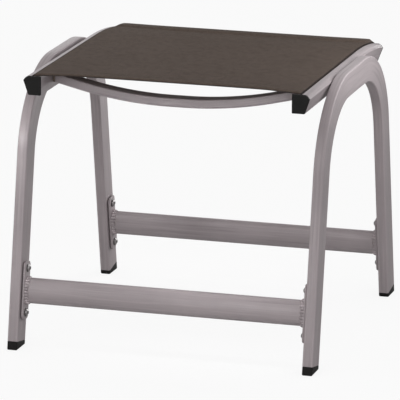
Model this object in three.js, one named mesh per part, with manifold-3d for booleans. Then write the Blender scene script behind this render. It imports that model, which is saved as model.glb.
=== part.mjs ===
// Outdoor ottoman footstool: a taut mesh sling between two slotted rails on two bent-tube leg frames
// Frame: millimetres, +X to the right, +Y to the back, +Z up, origin on the ground under the centre
import * as THREE from 'three';
import { mergeVertices } from 'three/addons/utils/BufferGeometryUtils.js';
import Module from 'manifold-3d';

// Stance of the whole stool
const widthOverLegs = 476;
const depthOverFeet = 502;
const archTopHeight = 418.5;
const legLean = THREE.MathUtils.degToRad(10.1);

// Flat tube of the leg frames
const legTubeAcross = 16;
const legTubeDepth = 39;
const legTubeWall = 1.8;
const legTubeCorner = 2.4;
const legBendRadius = 132;
const legBendSteps = 8;

// Foot caps
const footCapHeight = 10;
const footCapChamfer = 1.6;
const footPlugLength = 20;
const footPlugWall = 1.8;
const footPlugTaper = 0.5;
const footRecessDepth = 17;

// Seat rails, section measured from the inner bottom edge
const railToLegGap = 0.9;
const railBelowArch = 1.7;
const railHeight = 28.8;
const railBaseWidth = 19.6;
const railWidth = 27.3;
const railRidgeHeight = 22.6;
const railShoulderIn = 9;
const railWall = 1.9;
const railCorner = 1.2;
const railHalfLength = 214;
const railDropShare = 0.467;
const railDropRadius = 600;
const railDropSteps = 5;

// Slot for the edge rod of the sling
const slotAcross = 13.4;
const slotDepth = 5.8;
const slotRadius = 4.1;
const slotMouthHalf = 1.7;

// Rail end caps
const endCapFlange = 3.2;
const endCapEdge = 0.9;
const endCapPlugLength = 15;
const endCapPlugWall = 1.8;
const endCapPlugCorner = 2.6;

// Sling and its edge rods
const slingThickness = 2;
const slingEndInset = 0.4;
const slingEdgeBow = 11;
const slingHemWidth = 26;
const slingHemTaper = 4;
const slingHemExtra = 2.5;
const slingDropSteps = 3;
const slingPocketWall = 0.9;
const slingNeckHalf = 1.1;
const slingBowAcrossShares = [1, 0.93, 0.875, 0.79, 0.6, 0.3, 0];
const slingBowShares = [0, 0.25, 0.5, 0.85, 0.97, 1, 1];
const rodRadius = 2.2;

// Bowed spreader bars under the sling
const spreaderSetback = 66;
const spreaderDepth = 26;
const spreaderTubeHeight = 13.5;
const spreaderCorner = 2;
const spreaderWall = 1.6;
const spreaderEndHeight = 16.6;
const spreaderSlope = 0.236;
const spreaderFlatShare = 0.06;
const spreaderBendShare = 0.78;
const spreaderBendSteps = 4;
const spreaderPlugFlange = 3.8;
const spreaderPlugLength = 18;
const spigotRadius = 3.5;
const spigotLength = 5.2;

// Oval stretchers welded to bolted end plates
const stretcherHeight = 39;
const stretcherDepth = 20;
const stretcherWall = 1.6;
const stretcherCentreHeight = 86;
const weldLeg = 2.8;
const weldReach = 6.5;
const weldCrownShare = 0.58;
const plateWidth = 26;
const plateHeight = 88;
const plateThickness = 3;
const plateCorner = 7;
const plateBoltPitch = 67.4;

// Button-head bolts and the rivet nuts they thread into
const boltRadius = 3;
const boltChamfer = 0.6;
const boltFlangeRadius = 6.4;
const boltFlangeThickness = 1;
const boltDomeRadius = 5.2;
const boltHeadHeight = 4.1;
const boltDomeShares = [[1, 0.12], [0.86, 0.62], [0.6, 0.92]];
const boltSocketFlats = 4;
const boltSocketDepth = 2.3;
const boltSocketSides = 6;
const boltReach = 8.3;
const nutBoreRadius = 3.35;
const nutBodyRadius = 4.5;
const nutBodyLength = 10;
const nutFlangeRadius = 6;
const nutFlangeThickness = 0.8;

// Fixing of the seat rails to the leg arches
const railBoltSpacing = 64;
const railBoltRise = 11.2;
const saddleLength = 22;
const saddleFootShare = 0.11;
const saddleTopShare = 0.75;

// Clearances and cut overrun
const seatGap = 0.3;
const boreClearance = 0.5;
const cutOverrun = 2;
const mergeTolerance = 1e-4;

// Facets of round forms
const roundSteps = 1;
const tubeRoundSteps = 2;
const slotSteps = 4;
const ovalSteps = 10;
const boltSides = 10;

// Derived positions
const legInnerX = widthOverLegs / 2 - legTubeAcross;
const legCentreX = widthOverLegs / 2 - legTubeAcross / 2;
const fixingFaceX = legInnerX - seatGap - nutFlangeThickness - seatGap;
const legFootY = depthOverFeet / 2 - legTubeDepth / 2 / Math.cos(legLean);
const archCentreHeight = archTopHeight - legTubeDepth / 2;
const archCornerY = legFootY - archCentreHeight * Math.tan(legLean);
const archTurn = Math.PI / 2 - legLean;
const archFlatHalf = archCornerY - legBendRadius * Math.tan(archTurn / 2);
const railInnerX = legInnerX - railToLegGap - railWidth;
const railBottomHeight = archTopHeight - railBelowArch - railHeight;
const railSlant = (railWidth - railBaseWidth) / railRidgeHeight;
const railDropStart = railHalfLength * railDropShare;
const slotHeight = railHeight - slotDepth;
const slingUnderside = railHeight + seatGap;
const slotCentreX = railInnerX + slotAcross;
const slingHalfLength = railHalfLength - slingEndInset;
const spreaderFlatHalf = railInnerX * spreaderFlatShare;
const spreaderBendEnd = railInnerX * spreaderBendShare;

// Finishes
const frameColour = 0x9a9195;
const plasticColour = 0x232427;
const slingColour = 0x554d47;
const rodColour = 0x3a3733;
const steelColour = 0x8b8788;
const nutColour = 0xb8b09a;

const wasm = await Module();
wasm.setup();

function material(colour, roughness, metalness) {
  return new THREE.MeshStandardMaterial({ color: colour, roughness, metalness });
}
const powderCoat = () => material(frameColour, 0.5, 0.35);
const blackPlastic = () => material(plasticColour, 0.6, 0);
const slingMesh = () => material(slingColour, 0.85, 0);
const rodPlastic = () => material(rodColour, 0.6, 0);
const coatedSteel = () => material(steelColour, 0.42, 0.7);
const zincSteel = () => material(nutColour, 0.4, 0.9);

function named(name, geometry, finish) {
  const crisp = geometry.index ? geometry.toNonIndexed() : geometry;
  crisp.computeVertexNormals();
  const mesh = new THREE.Mesh(crisp, finish);
  mesh.name = name;
  return mesh;
}

// Solid arithmetic on closed geometries
function toSolid(geometry) {
  const bare = geometry.clone();
  bare.deleteAttribute('normal');
  bare.deleteAttribute('uv');
  const merged = mergeVertices(bare, mergeTolerance);
  const vertProperties = new Float32Array(merged.getAttribute('position').array);
  const triVerts = new Uint32Array(merged.index.array);
  return new wasm.Manifold(new wasm.Mesh({ numProp: 3, vertProperties, triVerts }));
}

function fromSolid(solid) {
  const mesh = solid.getMesh();
  const geometry = new THREE.BufferGeometry();
  geometry.setAttribute('position', new THREE.BufferAttribute(new Float32Array(mesh.vertProperties), 3));
  geometry.setIndex(new THREE.BufferAttribute(new Uint32Array(mesh.triVerts), 1));
  return geometry;
}

function cut(geometry, tools) {
  const solid = tools.reduce((rest, tool) => rest.subtract(toSolid(tool)), toSolid(geometry));
  return fromSolid(solid);
}

function join(geometry, others) {
  const solid = others.reduce((rest, other) => rest.add(toSolid(other)), toSolid(geometry));
  return fromSolid(solid);
}

// Copy of a geometry on the other side of the stool
function mirrored(geometry) {
  const copy = geometry.index ? geometry.toNonIndexed() : geometry.clone();
  const position = copy.getAttribute('position');
  const corner = [new THREE.Vector3(), new THREE.Vector3(), new THREE.Vector3()];
  for (let i = 0; i < position.count; i += 3) {
    corner.forEach((point, k) => point.fromBufferAttribute(position, i + k));
    [0, 2, 1].forEach((from, k) => position.setXYZ(i + k, -corner[from].x, corner[from].y, corner[from].z));
  }
  return copy;
}

// Section carried through a row of stations, each station a function that places a section point
function sweep(shape, stations, curveSegments = roundSteps) {
  const spans = stations.length - 1;
  const straight = { depth: spans, steps: spans, bevelEnabled: false, curveSegments };
  const geometry = new THREE.ExtrudeGeometry(shape, straight);
  const position = geometry.getAttribute('position');
  for (let i = 0; i < position.count; i += 1) {
    const placed = stations[Math.round(position.getZ(i))](position.getX(i), position.getY(i));
    position.setXYZ(i, placed.x, placed.y, placed.z);
  }
  return geometry;
}

function roundedRectangle(PathClass, width, height, corner) {
  const x = width / 2;
  const y = height / 2;
  const path = new PathClass();
  path.moveTo(corner - x, -y);
  path.lineTo(x - corner, -y);
  path.absarc(x - corner, corner - y, corner, -Math.PI / 2, 0);
  path.lineTo(x, y - corner);
  path.absarc(x - corner, y - corner, corner, 0, Math.PI / 2);
  path.lineTo(corner - x, y);
  path.absarc(corner - x, y - corner, corner, Math.PI / 2, Math.PI);
  path.lineTo(-x, corner - y);
  path.absarc(corner - x, corner - y, corner, Math.PI, Math.PI * 1.5);
  return path;
}

function tubeSection(width, height, corner, wall) {
  const section = roundedRectangle(THREE.Shape, width, height, corner);
  const boreWidth = width - wall - wall;
  const boreHeight = height - wall - wall;
  section.holes.push(roundedRectangle(THREE.Path, boreWidth, boreHeight, corner - wall));
  return section;
}

// Round pin along X, from one x to another
function pinAlongX(radius, fromX, toX, y, z, sides = boltSides) {
  const geometry = new THREE.CylinderGeometry(radius, radius, toX - fromX, sides);
  geometry.rotateZ(-Math.PI / 2);
  geometry.translate((fromX + toX) / 2, y, z);
  return geometry;
}

// Leg frame: centre line of the bent tube in the side plane
function legStation(y, z, angle) {
  return (u, v) => new THREE.Vector3(legCentreX - u, y - v * Math.cos(angle), z + v * Math.sin(angle));
}

function legAxisY(height) {
  return legFootY - height * Math.tan(legLean);
}

function legStations() {
  const front = [legStation(-legAxisY(footCapHeight), footCapHeight, legLean)];
  const rear = [legStation(legAxisY(footCapHeight), footCapHeight, Math.PI - legLean)];
  const bendHeight = archCentreHeight - legBendRadius;
  for (let i = 0; i <= legBendSteps; i += 1) {
    const angle = legLean + archTurn * i / legBendSteps;
    const y = archFlatHalf + legBendRadius * Math.cos(angle);
    const z = bendHeight + legBendRadius * Math.sin(angle);
    front.push(legStation(-y, z, angle));
    rear.unshift(legStation(y, z, Math.PI - angle));
  }
  return [...front, ...rear];
}

function legFrameGeometry() {
  const section = tubeSection(legTubeAcross, legTubeDepth, legTubeCorner, legTubeWall);
  const tube = sweep(section, legStations(), tubeRoundSteps);
  const radius = nutBodyRadius + boreClearance;
  const fromX = legInnerX - cutOverrun;
  const toX = legInnerX + legTubeWall + cutOverrun;
  const holes = fixingPoints().map(([y, z]) => pinAlongX(radius, fromX, toX, y, z));
  return cut(tube, holes);
}

// Points on a leg frame's inner face where a rivet nut sits, as y and z
function stretcherBoltPoints(end) {
  return [1, -1].map((level) => {
    const z = stretcherCentreHeight + level * plateBoltPitch / 2 * Math.cos(legLean);
    return [end * legAxisY(z), z];
  });
}

function railBoltPoint(end) {
  return [end * railBoltSpacing / 2, railBottomHeight + railBoltRise];
}

function fixingPoints() {
  return [...stretcherBoltPoints(-1), ...stretcherBoltPoints(1), railBoltPoint(-1), railBoltPoint(1)];
}

// Foot cap: flat base, chamfered edge, body flush with the tube and a hollow plug inside it
function footCapStation(inset, height, onGround) {
  const topY = -legAxisY(footCapHeight);
  return (u, v) => {
    const across = u * (1 - inset / (legTubeAcross / 2));
    const along = v * (1 - inset / (legTubeDepth / 2));
    const point = new THREE.Vector3(legCentreX - across, topY, footCapHeight);
    point.y -= along * Math.cos(legLean);
    point.z += along * Math.sin(legLean);
    const slide = onGround ? (height - point.z) / Math.cos(legLean) : height;
    point.y += slide * Math.sin(legLean);
    point.z += slide * Math.cos(legLean);
    return point;
  };
}

function footCapGeometry() {
  const plugInset = legTubeWall + seatGap;
  const stations = [
    footCapStation(footCapChamfer, 0, true),
    footCapStation(0, footCapChamfer, true),
    footCapStation(0, -seatGap, false),
    footCapStation(plugInset, -seatGap, false),
    footCapStation(plugInset + footPlugTaper, footPlugLength, false),
    footCapStation(plugInset + footPlugTaper + footPlugWall, footPlugLength, false),
    footCapStation(plugInset + footPlugTaper + footPlugWall, footPlugLength - footRecessDepth, false),
  ];
  return sweep(roundedRectangle(THREE.Shape, legTubeAcross, legTubeDepth, legTubeCorner), stations);
}

// Rail path: level at the front, dropping along an arc at the back
function railStation(along, offsetX) {
  const past = Math.max(0, along - railDropStart);
  const angle = past / railDropRadius;
  const y = Math.min(along, railDropStart) + railDropRadius * Math.sin(angle);
  const z = railBottomHeight - railDropRadius * (1 - Math.cos(angle));
  return (u, v) => new THREE.Vector3(offsetX + u, y + v * Math.sin(angle), z + v * Math.cos(angle));
}

function railStations(halfLength, offsetX) {
  const stations = [];
  for (let i = 0; i <= railDropSteps; i += 1) {
    stations.push(railStation(halfLength - (halfLength - railDropStart) * i / railDropSteps, offsetX));
  }
  stations.push(railStation(-halfLength, offsetX));
  return stations;
}

// Outer contour of the rail without its slot
function railOutline(shape) {
  const shoulder = railRidgeHeight + railCorner;
  shape.moveTo(railCorner, 0);
  shape.lineTo(railBaseWidth - railCorner, 0);
  shape.quadraticCurveTo(railBaseWidth, 0, railBaseWidth + railSlant * railCorner, railCorner);
  shape.lineTo(railWidth - railSlant * railCorner, railRidgeHeight - railCorner);
  shape.quadraticCurveTo(railWidth, railRidgeHeight, railWidth - railCorner, shoulder);
  const crownX = railWidth - railShoulderIn;
  shape.quadraticCurveTo(railWidth - railShoulderIn / 2, railHeight, crownX, railHeight);
  return shape;
}

function railInnerEdge(shape) {
  shape.lineTo(railCorner, railHeight);
  shape.quadraticCurveTo(0, railHeight, 0, railHeight - railCorner);
  shape.lineTo(0, railCorner);
  shape.quadraticCurveTo(0, 0, railCorner, 0);
  return shape;
}

// Hollow of the rail, passing under and around the slot's wall
function railHollow() {
  const hollow = new THREE.Path();
  const shellRadius = slotRadius + railWall;
  const shoulder = railRidgeHeight + railCorner;
  const rise = shoulder - slotHeight;
  const reach = Math.sqrt(shellRadius * shellRadius - rise * rise);
  const turn = Math.asin(rise / shellRadius);
  hollow.moveTo(railWall, railWall);
  hollow.lineTo(railBaseWidth - railWall + railSlant * railWall, railWall);
  hollow.lineTo(railWidth - railWall - railSlant * railWall, railRidgeHeight - railCorner / 2);
  hollow.lineTo(railWidth - railWall - railCorner, shoulder);
  hollow.lineTo(slotAcross + reach, shoulder);
  hollow.absarc(slotAcross, slotHeight, shellRadius, turn, Math.PI - turn, true);
  hollow.lineTo(slotAcross - reach, shoulder);
  hollow.lineTo(railWall, shoulder);
  return hollow;
}

function railGeometry() {
  const section = railOutline(new THREE.Shape());
  const mouthAngle = Math.acos(slotMouthHalf / slotRadius);
  section.lineTo(slotAcross + slotMouthHalf, railHeight);
  section.absarc(slotAcross, slotHeight, slotRadius, mouthAngle, Math.PI - mouthAngle, true);
  section.lineTo(slotAcross - slotMouthHalf, railHeight);
  railInnerEdge(section);
  section.holes.push(railHollow());
  const rail = sweep(section, railStations(railHalfLength, railInnerX), slotSteps);
  const boltHoles = [-1, 1].map((end) => {
    const [y, z] = railBoltPoint(end);
    return pinAlongX(boltRadius + boreClearance, railInnerX - cutOverrun, legInnerX, y, z);
  });
  const spigotHoles = [-1, 1].map((end) => {
    const centre = spreaderEndPoint(end);
    const holeEnd = railInnerX + railWall + cutOverrun;
    return pinAlongX(spigotRadius + boreClearance, railInnerX - cutOverrun, holeEnd, centre.y, centre.z);
  });
  return cut(rail, [...boltHoles, ...spigotHoles]);
}

// Rail end cap: flange over the whole section with an eased edge, and a hollow plug
function endCapPlugShape() {
  const width = railBaseWidth - railWall - railWall - seatGap - seatGap;
  const top = slotHeight - slotRadius - railWall - seatGap;
  return { width, height: top - railWall - seatGap };
}

function endCapGeometry(end) {
  const middleU = railWidth / 2;
  const middleV = railHeight / 2;
  const faceAt = (back, inset) => {
    const place = railStation(end * (railHalfLength + seatGap + endCapFlange - back), railInnerX);
    const shrinkU = 1 - inset / middleU;
    const shrinkV = 1 - inset / middleV;
    return (u, v) => place(middleU + (u - middleU) * shrinkU, middleV + (v - middleV) * shrinkV);
  };
  const faces = [faceAt(0, endCapEdge), faceAt(endCapEdge, 0), faceAt(endCapFlange, 0)];
  const { width, height } = endCapPlugShape();
  const plugAt = (along) => {
    const place = railStation(end * along, railInnerX);
    return (u, v) => place(railWall + seatGap + width / 2 + u, railWall + seatGap + height / 2 + v);
  };
  const plugs = [railHalfLength + seatGap + endCapFlange / 2, railHalfLength - endCapPlugLength].map(plugAt);
  if (end < 0) {
    faces.reverse();
    plugs.reverse();
  }
  const flange = sweep(railInnerEdge(railOutline(new THREE.Shape())), faces, tubeRoundSteps);
  return join(flange, [sweep(tubeSection(width, height, endCapPlugCorner, endCapPlugWall), plugs)]);
}

// Sling: one sheet that runs down into both slots and loops around the edge rods
function slingBow(x) {
  const share = Math.min(1, Math.abs(x) / railInnerX);
  const upper = slingBowAcrossShares.findIndex((value) => value <= share);
  if (upper === 0) {
    return 0;
  }
  const outer = slingBowAcrossShares[upper - 1];
  const inner = slingBowAcrossShares[upper];
  const blend = (outer - share) / (outer - inner);
  return slingEdgeBow * THREE.MathUtils.lerp(slingBowShares[upper - 1], slingBowShares[upper], blend);
}

function slingSection() {
  const section = new THREE.Shape();
  const pocketRadius = rodRadius + seatGap + slingPocketWall;
  const neckAngle = Math.acos(slingNeckHalf / pocketRadius);
  const loopStart = Math.PI - neckAngle;
  const loopEnd = Math.PI * 2 + neckAngle;
  const top = slingUnderside + slingThickness;
  const across = slingBowAcrossShares.map((share) => share * railInnerX);
  const inner = slotCentreX - slingNeckHalf;
  const outer = slotCentreX + slingNeckHalf;
  section.moveTo(0, slingUnderside);
  across.slice(0, -1).reverse().forEach((x) => section.lineTo(x, slingUnderside));
  section.lineTo(inner, slingUnderside);
  section.absarc(slotCentreX, slotHeight, pocketRadius, loopStart, loopEnd, false);
  section.lineTo(outer, top - slingNeckHalf);
  section.quadraticCurveTo(outer, top, inner, top);
  across.forEach((x) => section.lineTo(x, top));
  across.slice(0, -1).reverse().forEach((x) => section.lineTo(-x, top));
  section.lineTo(-inner, top);
  section.quadraticCurveTo(-outer, top, -outer, top - slingNeckHalf);
  section.absarc(-slotCentreX, slotHeight, pocketRadius, loopStart, loopEnd, false);
  section.lineTo(-inner, slingUnderside);
  across.slice(0, -1).forEach((x) => section.lineTo(-x, slingUnderside));
  [-slotCentreX, slotCentreX].forEach((x) => {
    const bore = new THREE.Path();
    bore.absarc(x, slotHeight, rodRadius + seatGap, 0, Math.PI * 2, true);
    section.holes.push(bore);
  });
  return section;
}

// Places along the rail where the sling's section changes, from the back hem to the front hem
function slingPlaces() {
  const hemEnd = slingHalfLength - slingHemWidth;
  const flatEnd = hemEnd - slingHemTaper;
  const places = [[slingHalfLength, 1], [hemEnd, 1]];
  for (let i = 0; i <= slingDropSteps; i += 1) {
    places.push([flatEnd + (railDropStart - flatEnd) * i / slingDropSteps, 0]);
  }
  return [...places, [-flatEnd, 0], [-hemEnd, 1], [-slingHalfLength, 1]];
}

function slingGeometry() {
  const places = slingPlaces();
  const last = places.length - 1;
  const middleHeight = slingUnderside + slingThickness / 2;
  const hemSideX = (railInnerX + slotCentreX) / 2;
  const stations = places.map(([along, hemShare], i) => {
    const place = railStation(along, 0);
    const pull = { 0: -1, [last]: 1 }[i] ?? 0;
    return (u, v) => {
      const onHem = Math.abs(u) < hemSideX && v > middleHeight;
      const point = place(u, onHem ? v + hemShare * slingHemExtra : v);
      point.y += pull * slingBow(u);
      return point;
    };
  });
  return sweep(slingSection(), stations, slotSteps);
}

function rodGeometry() {
  const circle = new THREE.Shape();
  circle.absarc(slotAcross, slotHeight, rodRadius, 0, Math.PI * 2, false);
  return sweep(circle, railStations(slingHalfLength, railInnerX), slotSteps);
}

// Spreader bars: tube bowed down between the rails, seated on spigots in the rails' inner walls
function spreaderEndPoint(end) {
  return railStation(end * (railHalfLength - spreaderSetback), railInnerX)(0, spreaderEndHeight);
}

function spreaderEndX() {
  return railInnerX - seatGap - spreaderPlugFlange - seatGap;
}

// Drop of the bar's centre line and its slope at a distance from the middle
function spreaderLine(x) {
  const distance = Math.abs(x);
  const bend = spreaderBendEnd - spreaderFlatHalf;
  const into = THREE.MathUtils.clamp((distance - spreaderFlatHalf) / bend, 0, 1);
  const bent = spreaderSlope * bend * into * into / 2;
  const straight = spreaderSlope * Math.max(0, distance - spreaderBendEnd);
  return { rise: bent + straight, slope: Math.sign(x) * spreaderSlope * into };
}

function spreaderStation(x, end, upright) {
  const centre = spreaderEndPoint(end);
  const full = spreaderLine(railInnerX).rise;
  const { rise, slope } = spreaderLine(x);
  const angle = upright ? 0 : Math.atan(slope);
  const stretch = upright ? Math.hypot(1, slope) : 1;
  return (u, v) => {
    const tilted = v * stretch;
    const z = centre.z - full + rise + tilted * Math.cos(angle);
    return new THREE.Vector3(x - tilted * Math.sin(angle), centre.y - u, z);
  };
}

function spreaderPositions() {
  const half = [spreaderEndX()];
  for (let i = 0; i <= spreaderBendSteps; i += 1) {
    half.push(spreaderBendEnd + (spreaderFlatHalf - spreaderBendEnd) * i / spreaderBendSteps);
  }
  return [...half, ...half.map((x) => -x).reverse()];
}

function spreaderGeometry(end) {
  const positions = spreaderPositions();
  const lastX = positions[0];
  const stations = positions.map((x) => spreaderStation(x, end, Math.abs(x) === lastX));
  return sweep(tubeSection(spreaderDepth, spreaderTubeHeight, spreaderCorner, spreaderWall), stations);
}

function spreaderPlugGeometry(end) {
  const shape = roundedRectangle(THREE.Shape, spreaderDepth, spreaderTubeHeight, spreaderCorner);
  const centre = spreaderEndPoint(end);
  const at = (x, inset) => {
    const place = spreaderStation(x, end, true);
    const shrinkU = 1 - inset / (spreaderDepth / 2);
    const shrinkV = 1 - inset / (spreaderTubeHeight / 2);
    return (u, v) => place(u * shrinkU, v * shrinkV);
  };
  const outerX = railInnerX - seatGap;
  const innerX = outerX - spreaderPlugFlange;
  const plugInset = spreaderWall + seatGap;
  const flange = [at(outerX, 0), at(innerX, 0)];
  const plug = [at(innerX, plugInset), at(innerX - spreaderPlugLength, plugInset)];
  const spigot = pinAlongX(spigotRadius, innerX, railInnerX + spigotLength, centre.y, centre.z);
  return join(sweep(shape, [...flange, ...plug]), [spigot]);
}

// Stretchers: oval tube with a weld fillet at each end
function ovalPath(PathClass, width, height) {
  const path = new PathClass();
  path.absellipse(0, 0, width / 2, height / 2, 0, Math.PI * 2, false);
  return path;
}

function stretcherGeometry(end) {
  const section = ovalPath(THREE.Shape, stretcherDepth, stretcherHeight);
  const innerDepth = stretcherDepth - stretcherWall - stretcherWall;
  const innerHeight = stretcherHeight - stretcherWall - stretcherWall;
  section.holes.push(ovalPath(THREE.Path, innerDepth, innerHeight));
  const centreY = end * legAxisY(stretcherCentreHeight);
  const wallU = (stretcherDepth - stretcherWall) / 2;
  const wallV = (stretcherHeight - stretcherWall) / 2;
  const stationAt = (x, swell) => (u, v) => {
    const onOutside = Math.hypot(u / wallU, v / wallV) > 1;
    const grow = onOutside ? 1 + swell / Math.hypot(u, v) : 1;
    const across = -u * grow;
    const up = v * grow;
    const y = centreY + across * Math.cos(legLean) - end * up * Math.sin(legLean);
    const z = stretcherCentreHeight + end * across * Math.sin(legLean) + up * Math.cos(legLean);
    return new THREE.Vector3(x, y, z);
  };
  const endX = fixingFaceX - plateThickness - seatGap;
  const crown = [weldReach * weldCrownShare, weldLeg * weldCrownShare];
  const weld = [[0, weldLeg], crown, [weldReach, 0]];
  const right = weld.map(([back, swell]) => stationAt(endX - back, swell));
  const left = weld.map(([back, swell]) => stationAt(back - endX, swell));
  return sweep(section, [...right, ...left.reverse()], ovalSteps);
}

function plateGeometry() {
  const shape = roundedRectangle(THREE.Shape, plateWidth, plateHeight, plateCorner);
  [-1, 1].forEach((level) => {
    const hole = new THREE.Path();
    hole.absarc(0, level * plateBoltPitch / 2, boltRadius + boreClearance, 0, Math.PI * 2, true);
    shape.holes.push(hole);
  });
  const sheet = { depth: plateThickness, bevelEnabled: false, curveSegments: slotSteps };
  const geometry = new THREE.ExtrudeGeometry(shape, sheet);
  geometry.translate(0, 0, -plateThickness / 2);
  geometry.rotateX(Math.PI / 2);
  geometry.rotateZ(Math.PI / 2);
  return geometry;
}

// Body turned from radius and height pairs
function turned(pairs) {
  const profile = pairs.map(([radius, height]) => new THREE.Vector2(radius, height));
  return new THREE.LatheGeometry(profile, boltSides);
}

// Bolt along X, its head on the low-x side of the origin and its shank reaching to high x
function boltGeometry(grip) {
  const dome = boltDomeShares.map(([radiusShare, heightShare]) => {
    const height = boltFlangeThickness + heightShare * (boltHeadHeight - boltFlangeThickness);
    return [radiusShare * boltDomeRadius, height];
  });
  const shank = [[0, -grip], [boltRadius - boltChamfer, -grip], [boltRadius, boltChamfer - grip]];
  const seat = [[boltRadius, 0], [boltFlangeRadius, 0], [boltFlangeRadius, boltFlangeThickness / 2]];
  const body = turned([...shank, ...seat, ...dome, [0, boltHeadHeight]]);
  const socketRadius = boltSocketFlats / 2 / Math.cos(Math.PI / boltSocketSides);
  const socketLength = boltSocketDepth + cutOverrun;
  const socket = new THREE.CylinderGeometry(socketRadius, socketRadius, socketLength, boltSocketSides);
  socket.translate(0, boltHeadHeight + cutOverrun / 2 - boltSocketDepth / 2, 0);
  const bolt = cut(body, [socket]);
  bolt.rotateZ(Math.PI / 2);
  return bolt;
}

// Rivet nut along X, its flange on the low-x side of the origin and its body reaching to high x
function rivetNutGeometry() {
  const mouth = [nutBoreRadius, nutFlangeThickness];
  const body = [[nutBoreRadius, -nutBodyLength], [nutBodyRadius, -nutBodyLength], [nutBodyRadius, 0]];
  const flange = [[nutFlangeRadius, 0], [nutFlangeRadius, nutFlangeThickness]];
  const nut = turned([mouth, ...body, ...flange, mouth]);
  nut.rotateZ(Math.PI / 2);
  return nut;
}

// Saddle: wedge that fills the space between the rail's slanted side and the leg arch
function saddleGeometry(end) {
  const bottom = railRidgeHeight * saddleFootShare;
  const top = railRidgeHeight * saddleTopShare;
  const railSide = railBaseWidth + Math.hypot(1, railSlant) * seatGap;
  const outer = fixingFaceX - railInnerX;
  const shape = new THREE.Shape();
  shape.moveTo(railSide + railSlant * bottom, bottom);
  shape.lineTo(outer, bottom);
  shape.lineTo(outer, top);
  shape.lineTo(railSide + railSlant * top, top);
  const [y, z] = railBoltPoint(end);
  const at = (along) => (u, v) => new THREE.Vector3(railInnerX + u, along, railBottomHeight + v);
  const block = sweep(shape, [at(y + saddleLength / 2), at(y - saddleLength / 2)]);
  return cut(block, [pinAlongX(boltRadius + boreClearance, railInnerX, legInnerX, y, z)]);
}

// Both sides of a piece drawn on the right of the stool
function bothSides(name, geometry, finish) {
  return [named(`${name}_right`, geometry, finish()), named(`${name}_left`, mirrored(geometry), finish())];
}

// Small piece seated at a point on the right and, mirrored, on the left
function seatedBothSides(name, geometry, finish, [x, y, z], lean = 0) {
  return bothSides(name, geometry, finish).map((mesh, i) => {
    mesh.position.set(i === 0 ? x : -x, y, z);
    mesh.rotation.x = lean;
    return mesh;
  });
}

// Bolt with its head seated at an x, and the rivet nut that takes it
function boltAndNut(boltName, nutName, seatX, [y, z], lean = 0) {
  const bolt = boltGeometry(legInnerX + boltReach - seatX);
  return [
    ...seatedBothSides(boltName, bolt, coatedSteel, [seatX, y, z], lean),
    ...seatedBothSides(nutName, rivetNutGeometry(), zincSteel, [legInnerX - seatGap, y, z]),
  ];
}

function stretcherFixings(end, place) {
  const lean = end * legLean;
  const plateX = fixingFaceX - plateThickness / 2;
  const plateAt = [plateX, end * legAxisY(stretcherCentreHeight), stretcherCentreHeight];
  const seatX = fixingFaceX - plateThickness - seatGap;
  const bolts = ['upper', 'lower'].flatMap((level, i) => {
    const at = stretcherBoltPoints(end)[i];
    return boltAndNut(`stretcher_bolt_${place}_${level}`, `rivet_nut_${place}_${level}`, seatX, at, lean);
  });
  return [
    ...seatedBothSides(`stretcher_plate_${place}`, plateGeometry(), powderCoat, plateAt, lean),
    ...bolts,
  ];
}

function railFixings(end, place) {
  const at = railBoltPoint(end);
  return [
    ...boltAndNut(`rail_bolt_${place}`, `rail_rivet_nut_${place}`, railInnerX - seatGap, at),
    ...bothSides(`rail_saddle_${place}`, saddleGeometry(end), blackPlastic),
  ];
}

function footCaps() {
  const front = footCapGeometry();
  const rear = mirrored(front);
  rear.rotateZ(Math.PI);
  return [
    ...bothSides('foot_cap_front', front, blackPlastic),
    ...bothSides('foot_cap_rear', rear, blackPlastic),
  ];
}

function endPieces(end, place) {
  return [
    ...bothSides(`rail_end_cap_${place}`, endCapGeometry(end), blackPlastic),
    named(`spreader_bar_${place}`, spreaderGeometry(end), powderCoat()),
    ...bothSides(`spreader_plug_${place}`, spreaderPlugGeometry(end), blackPlastic),
    named(`stretcher_${place}`, stretcherGeometry(end), powderCoat()),
    ...stretcherFixings(end, place),
    ...railFixings(end, place),
  ];
}

const stool = new THREE.Group();
stool.name = 'outdoor_ottoman_footstool';
stool.add(
  named('sling_panel', slingGeometry(), slingMesh()),
  ...bothSides('sling_rod', rodGeometry(), rodPlastic),
  ...bothSides('seat_rail', railGeometry(), powderCoat),
  ...bothSides('leg_frame', legFrameGeometry(), powderCoat),
  ...footCaps(),
  ...endPieces(-1, 'front'),
  ...endPieces(1, 'rear'),
);

export default stool;
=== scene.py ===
"""Outdoor ottoman footstool: a mesh sling on slotted rails and bent tube leg frames."""

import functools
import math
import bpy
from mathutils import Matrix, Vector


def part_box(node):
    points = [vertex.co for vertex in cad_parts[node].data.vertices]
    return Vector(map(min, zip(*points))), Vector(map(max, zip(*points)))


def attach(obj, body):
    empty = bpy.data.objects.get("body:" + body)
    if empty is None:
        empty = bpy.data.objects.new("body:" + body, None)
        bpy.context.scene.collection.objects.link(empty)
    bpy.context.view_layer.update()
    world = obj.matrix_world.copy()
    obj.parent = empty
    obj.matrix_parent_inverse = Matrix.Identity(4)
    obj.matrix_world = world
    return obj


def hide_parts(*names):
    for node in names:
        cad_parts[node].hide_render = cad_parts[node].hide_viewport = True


bl_info = {
    "name": "Outdoor ottoman footstool",
    "version": (1, 0, 0),
    "blender": (4, 5, 0),
    "location": "View3D > Sidebar > Footstool",
    "description": "Builds the finished pieces of an outdoor sling footstool over its solids",
    "category": "Object",
}

import bmesh
import bpy
from bpy.props import (
    FloatProperty,
    FloatVectorProperty,
    IntProperty,
    PointerProperty,
)
from mathutils import Matrix, Vector

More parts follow.
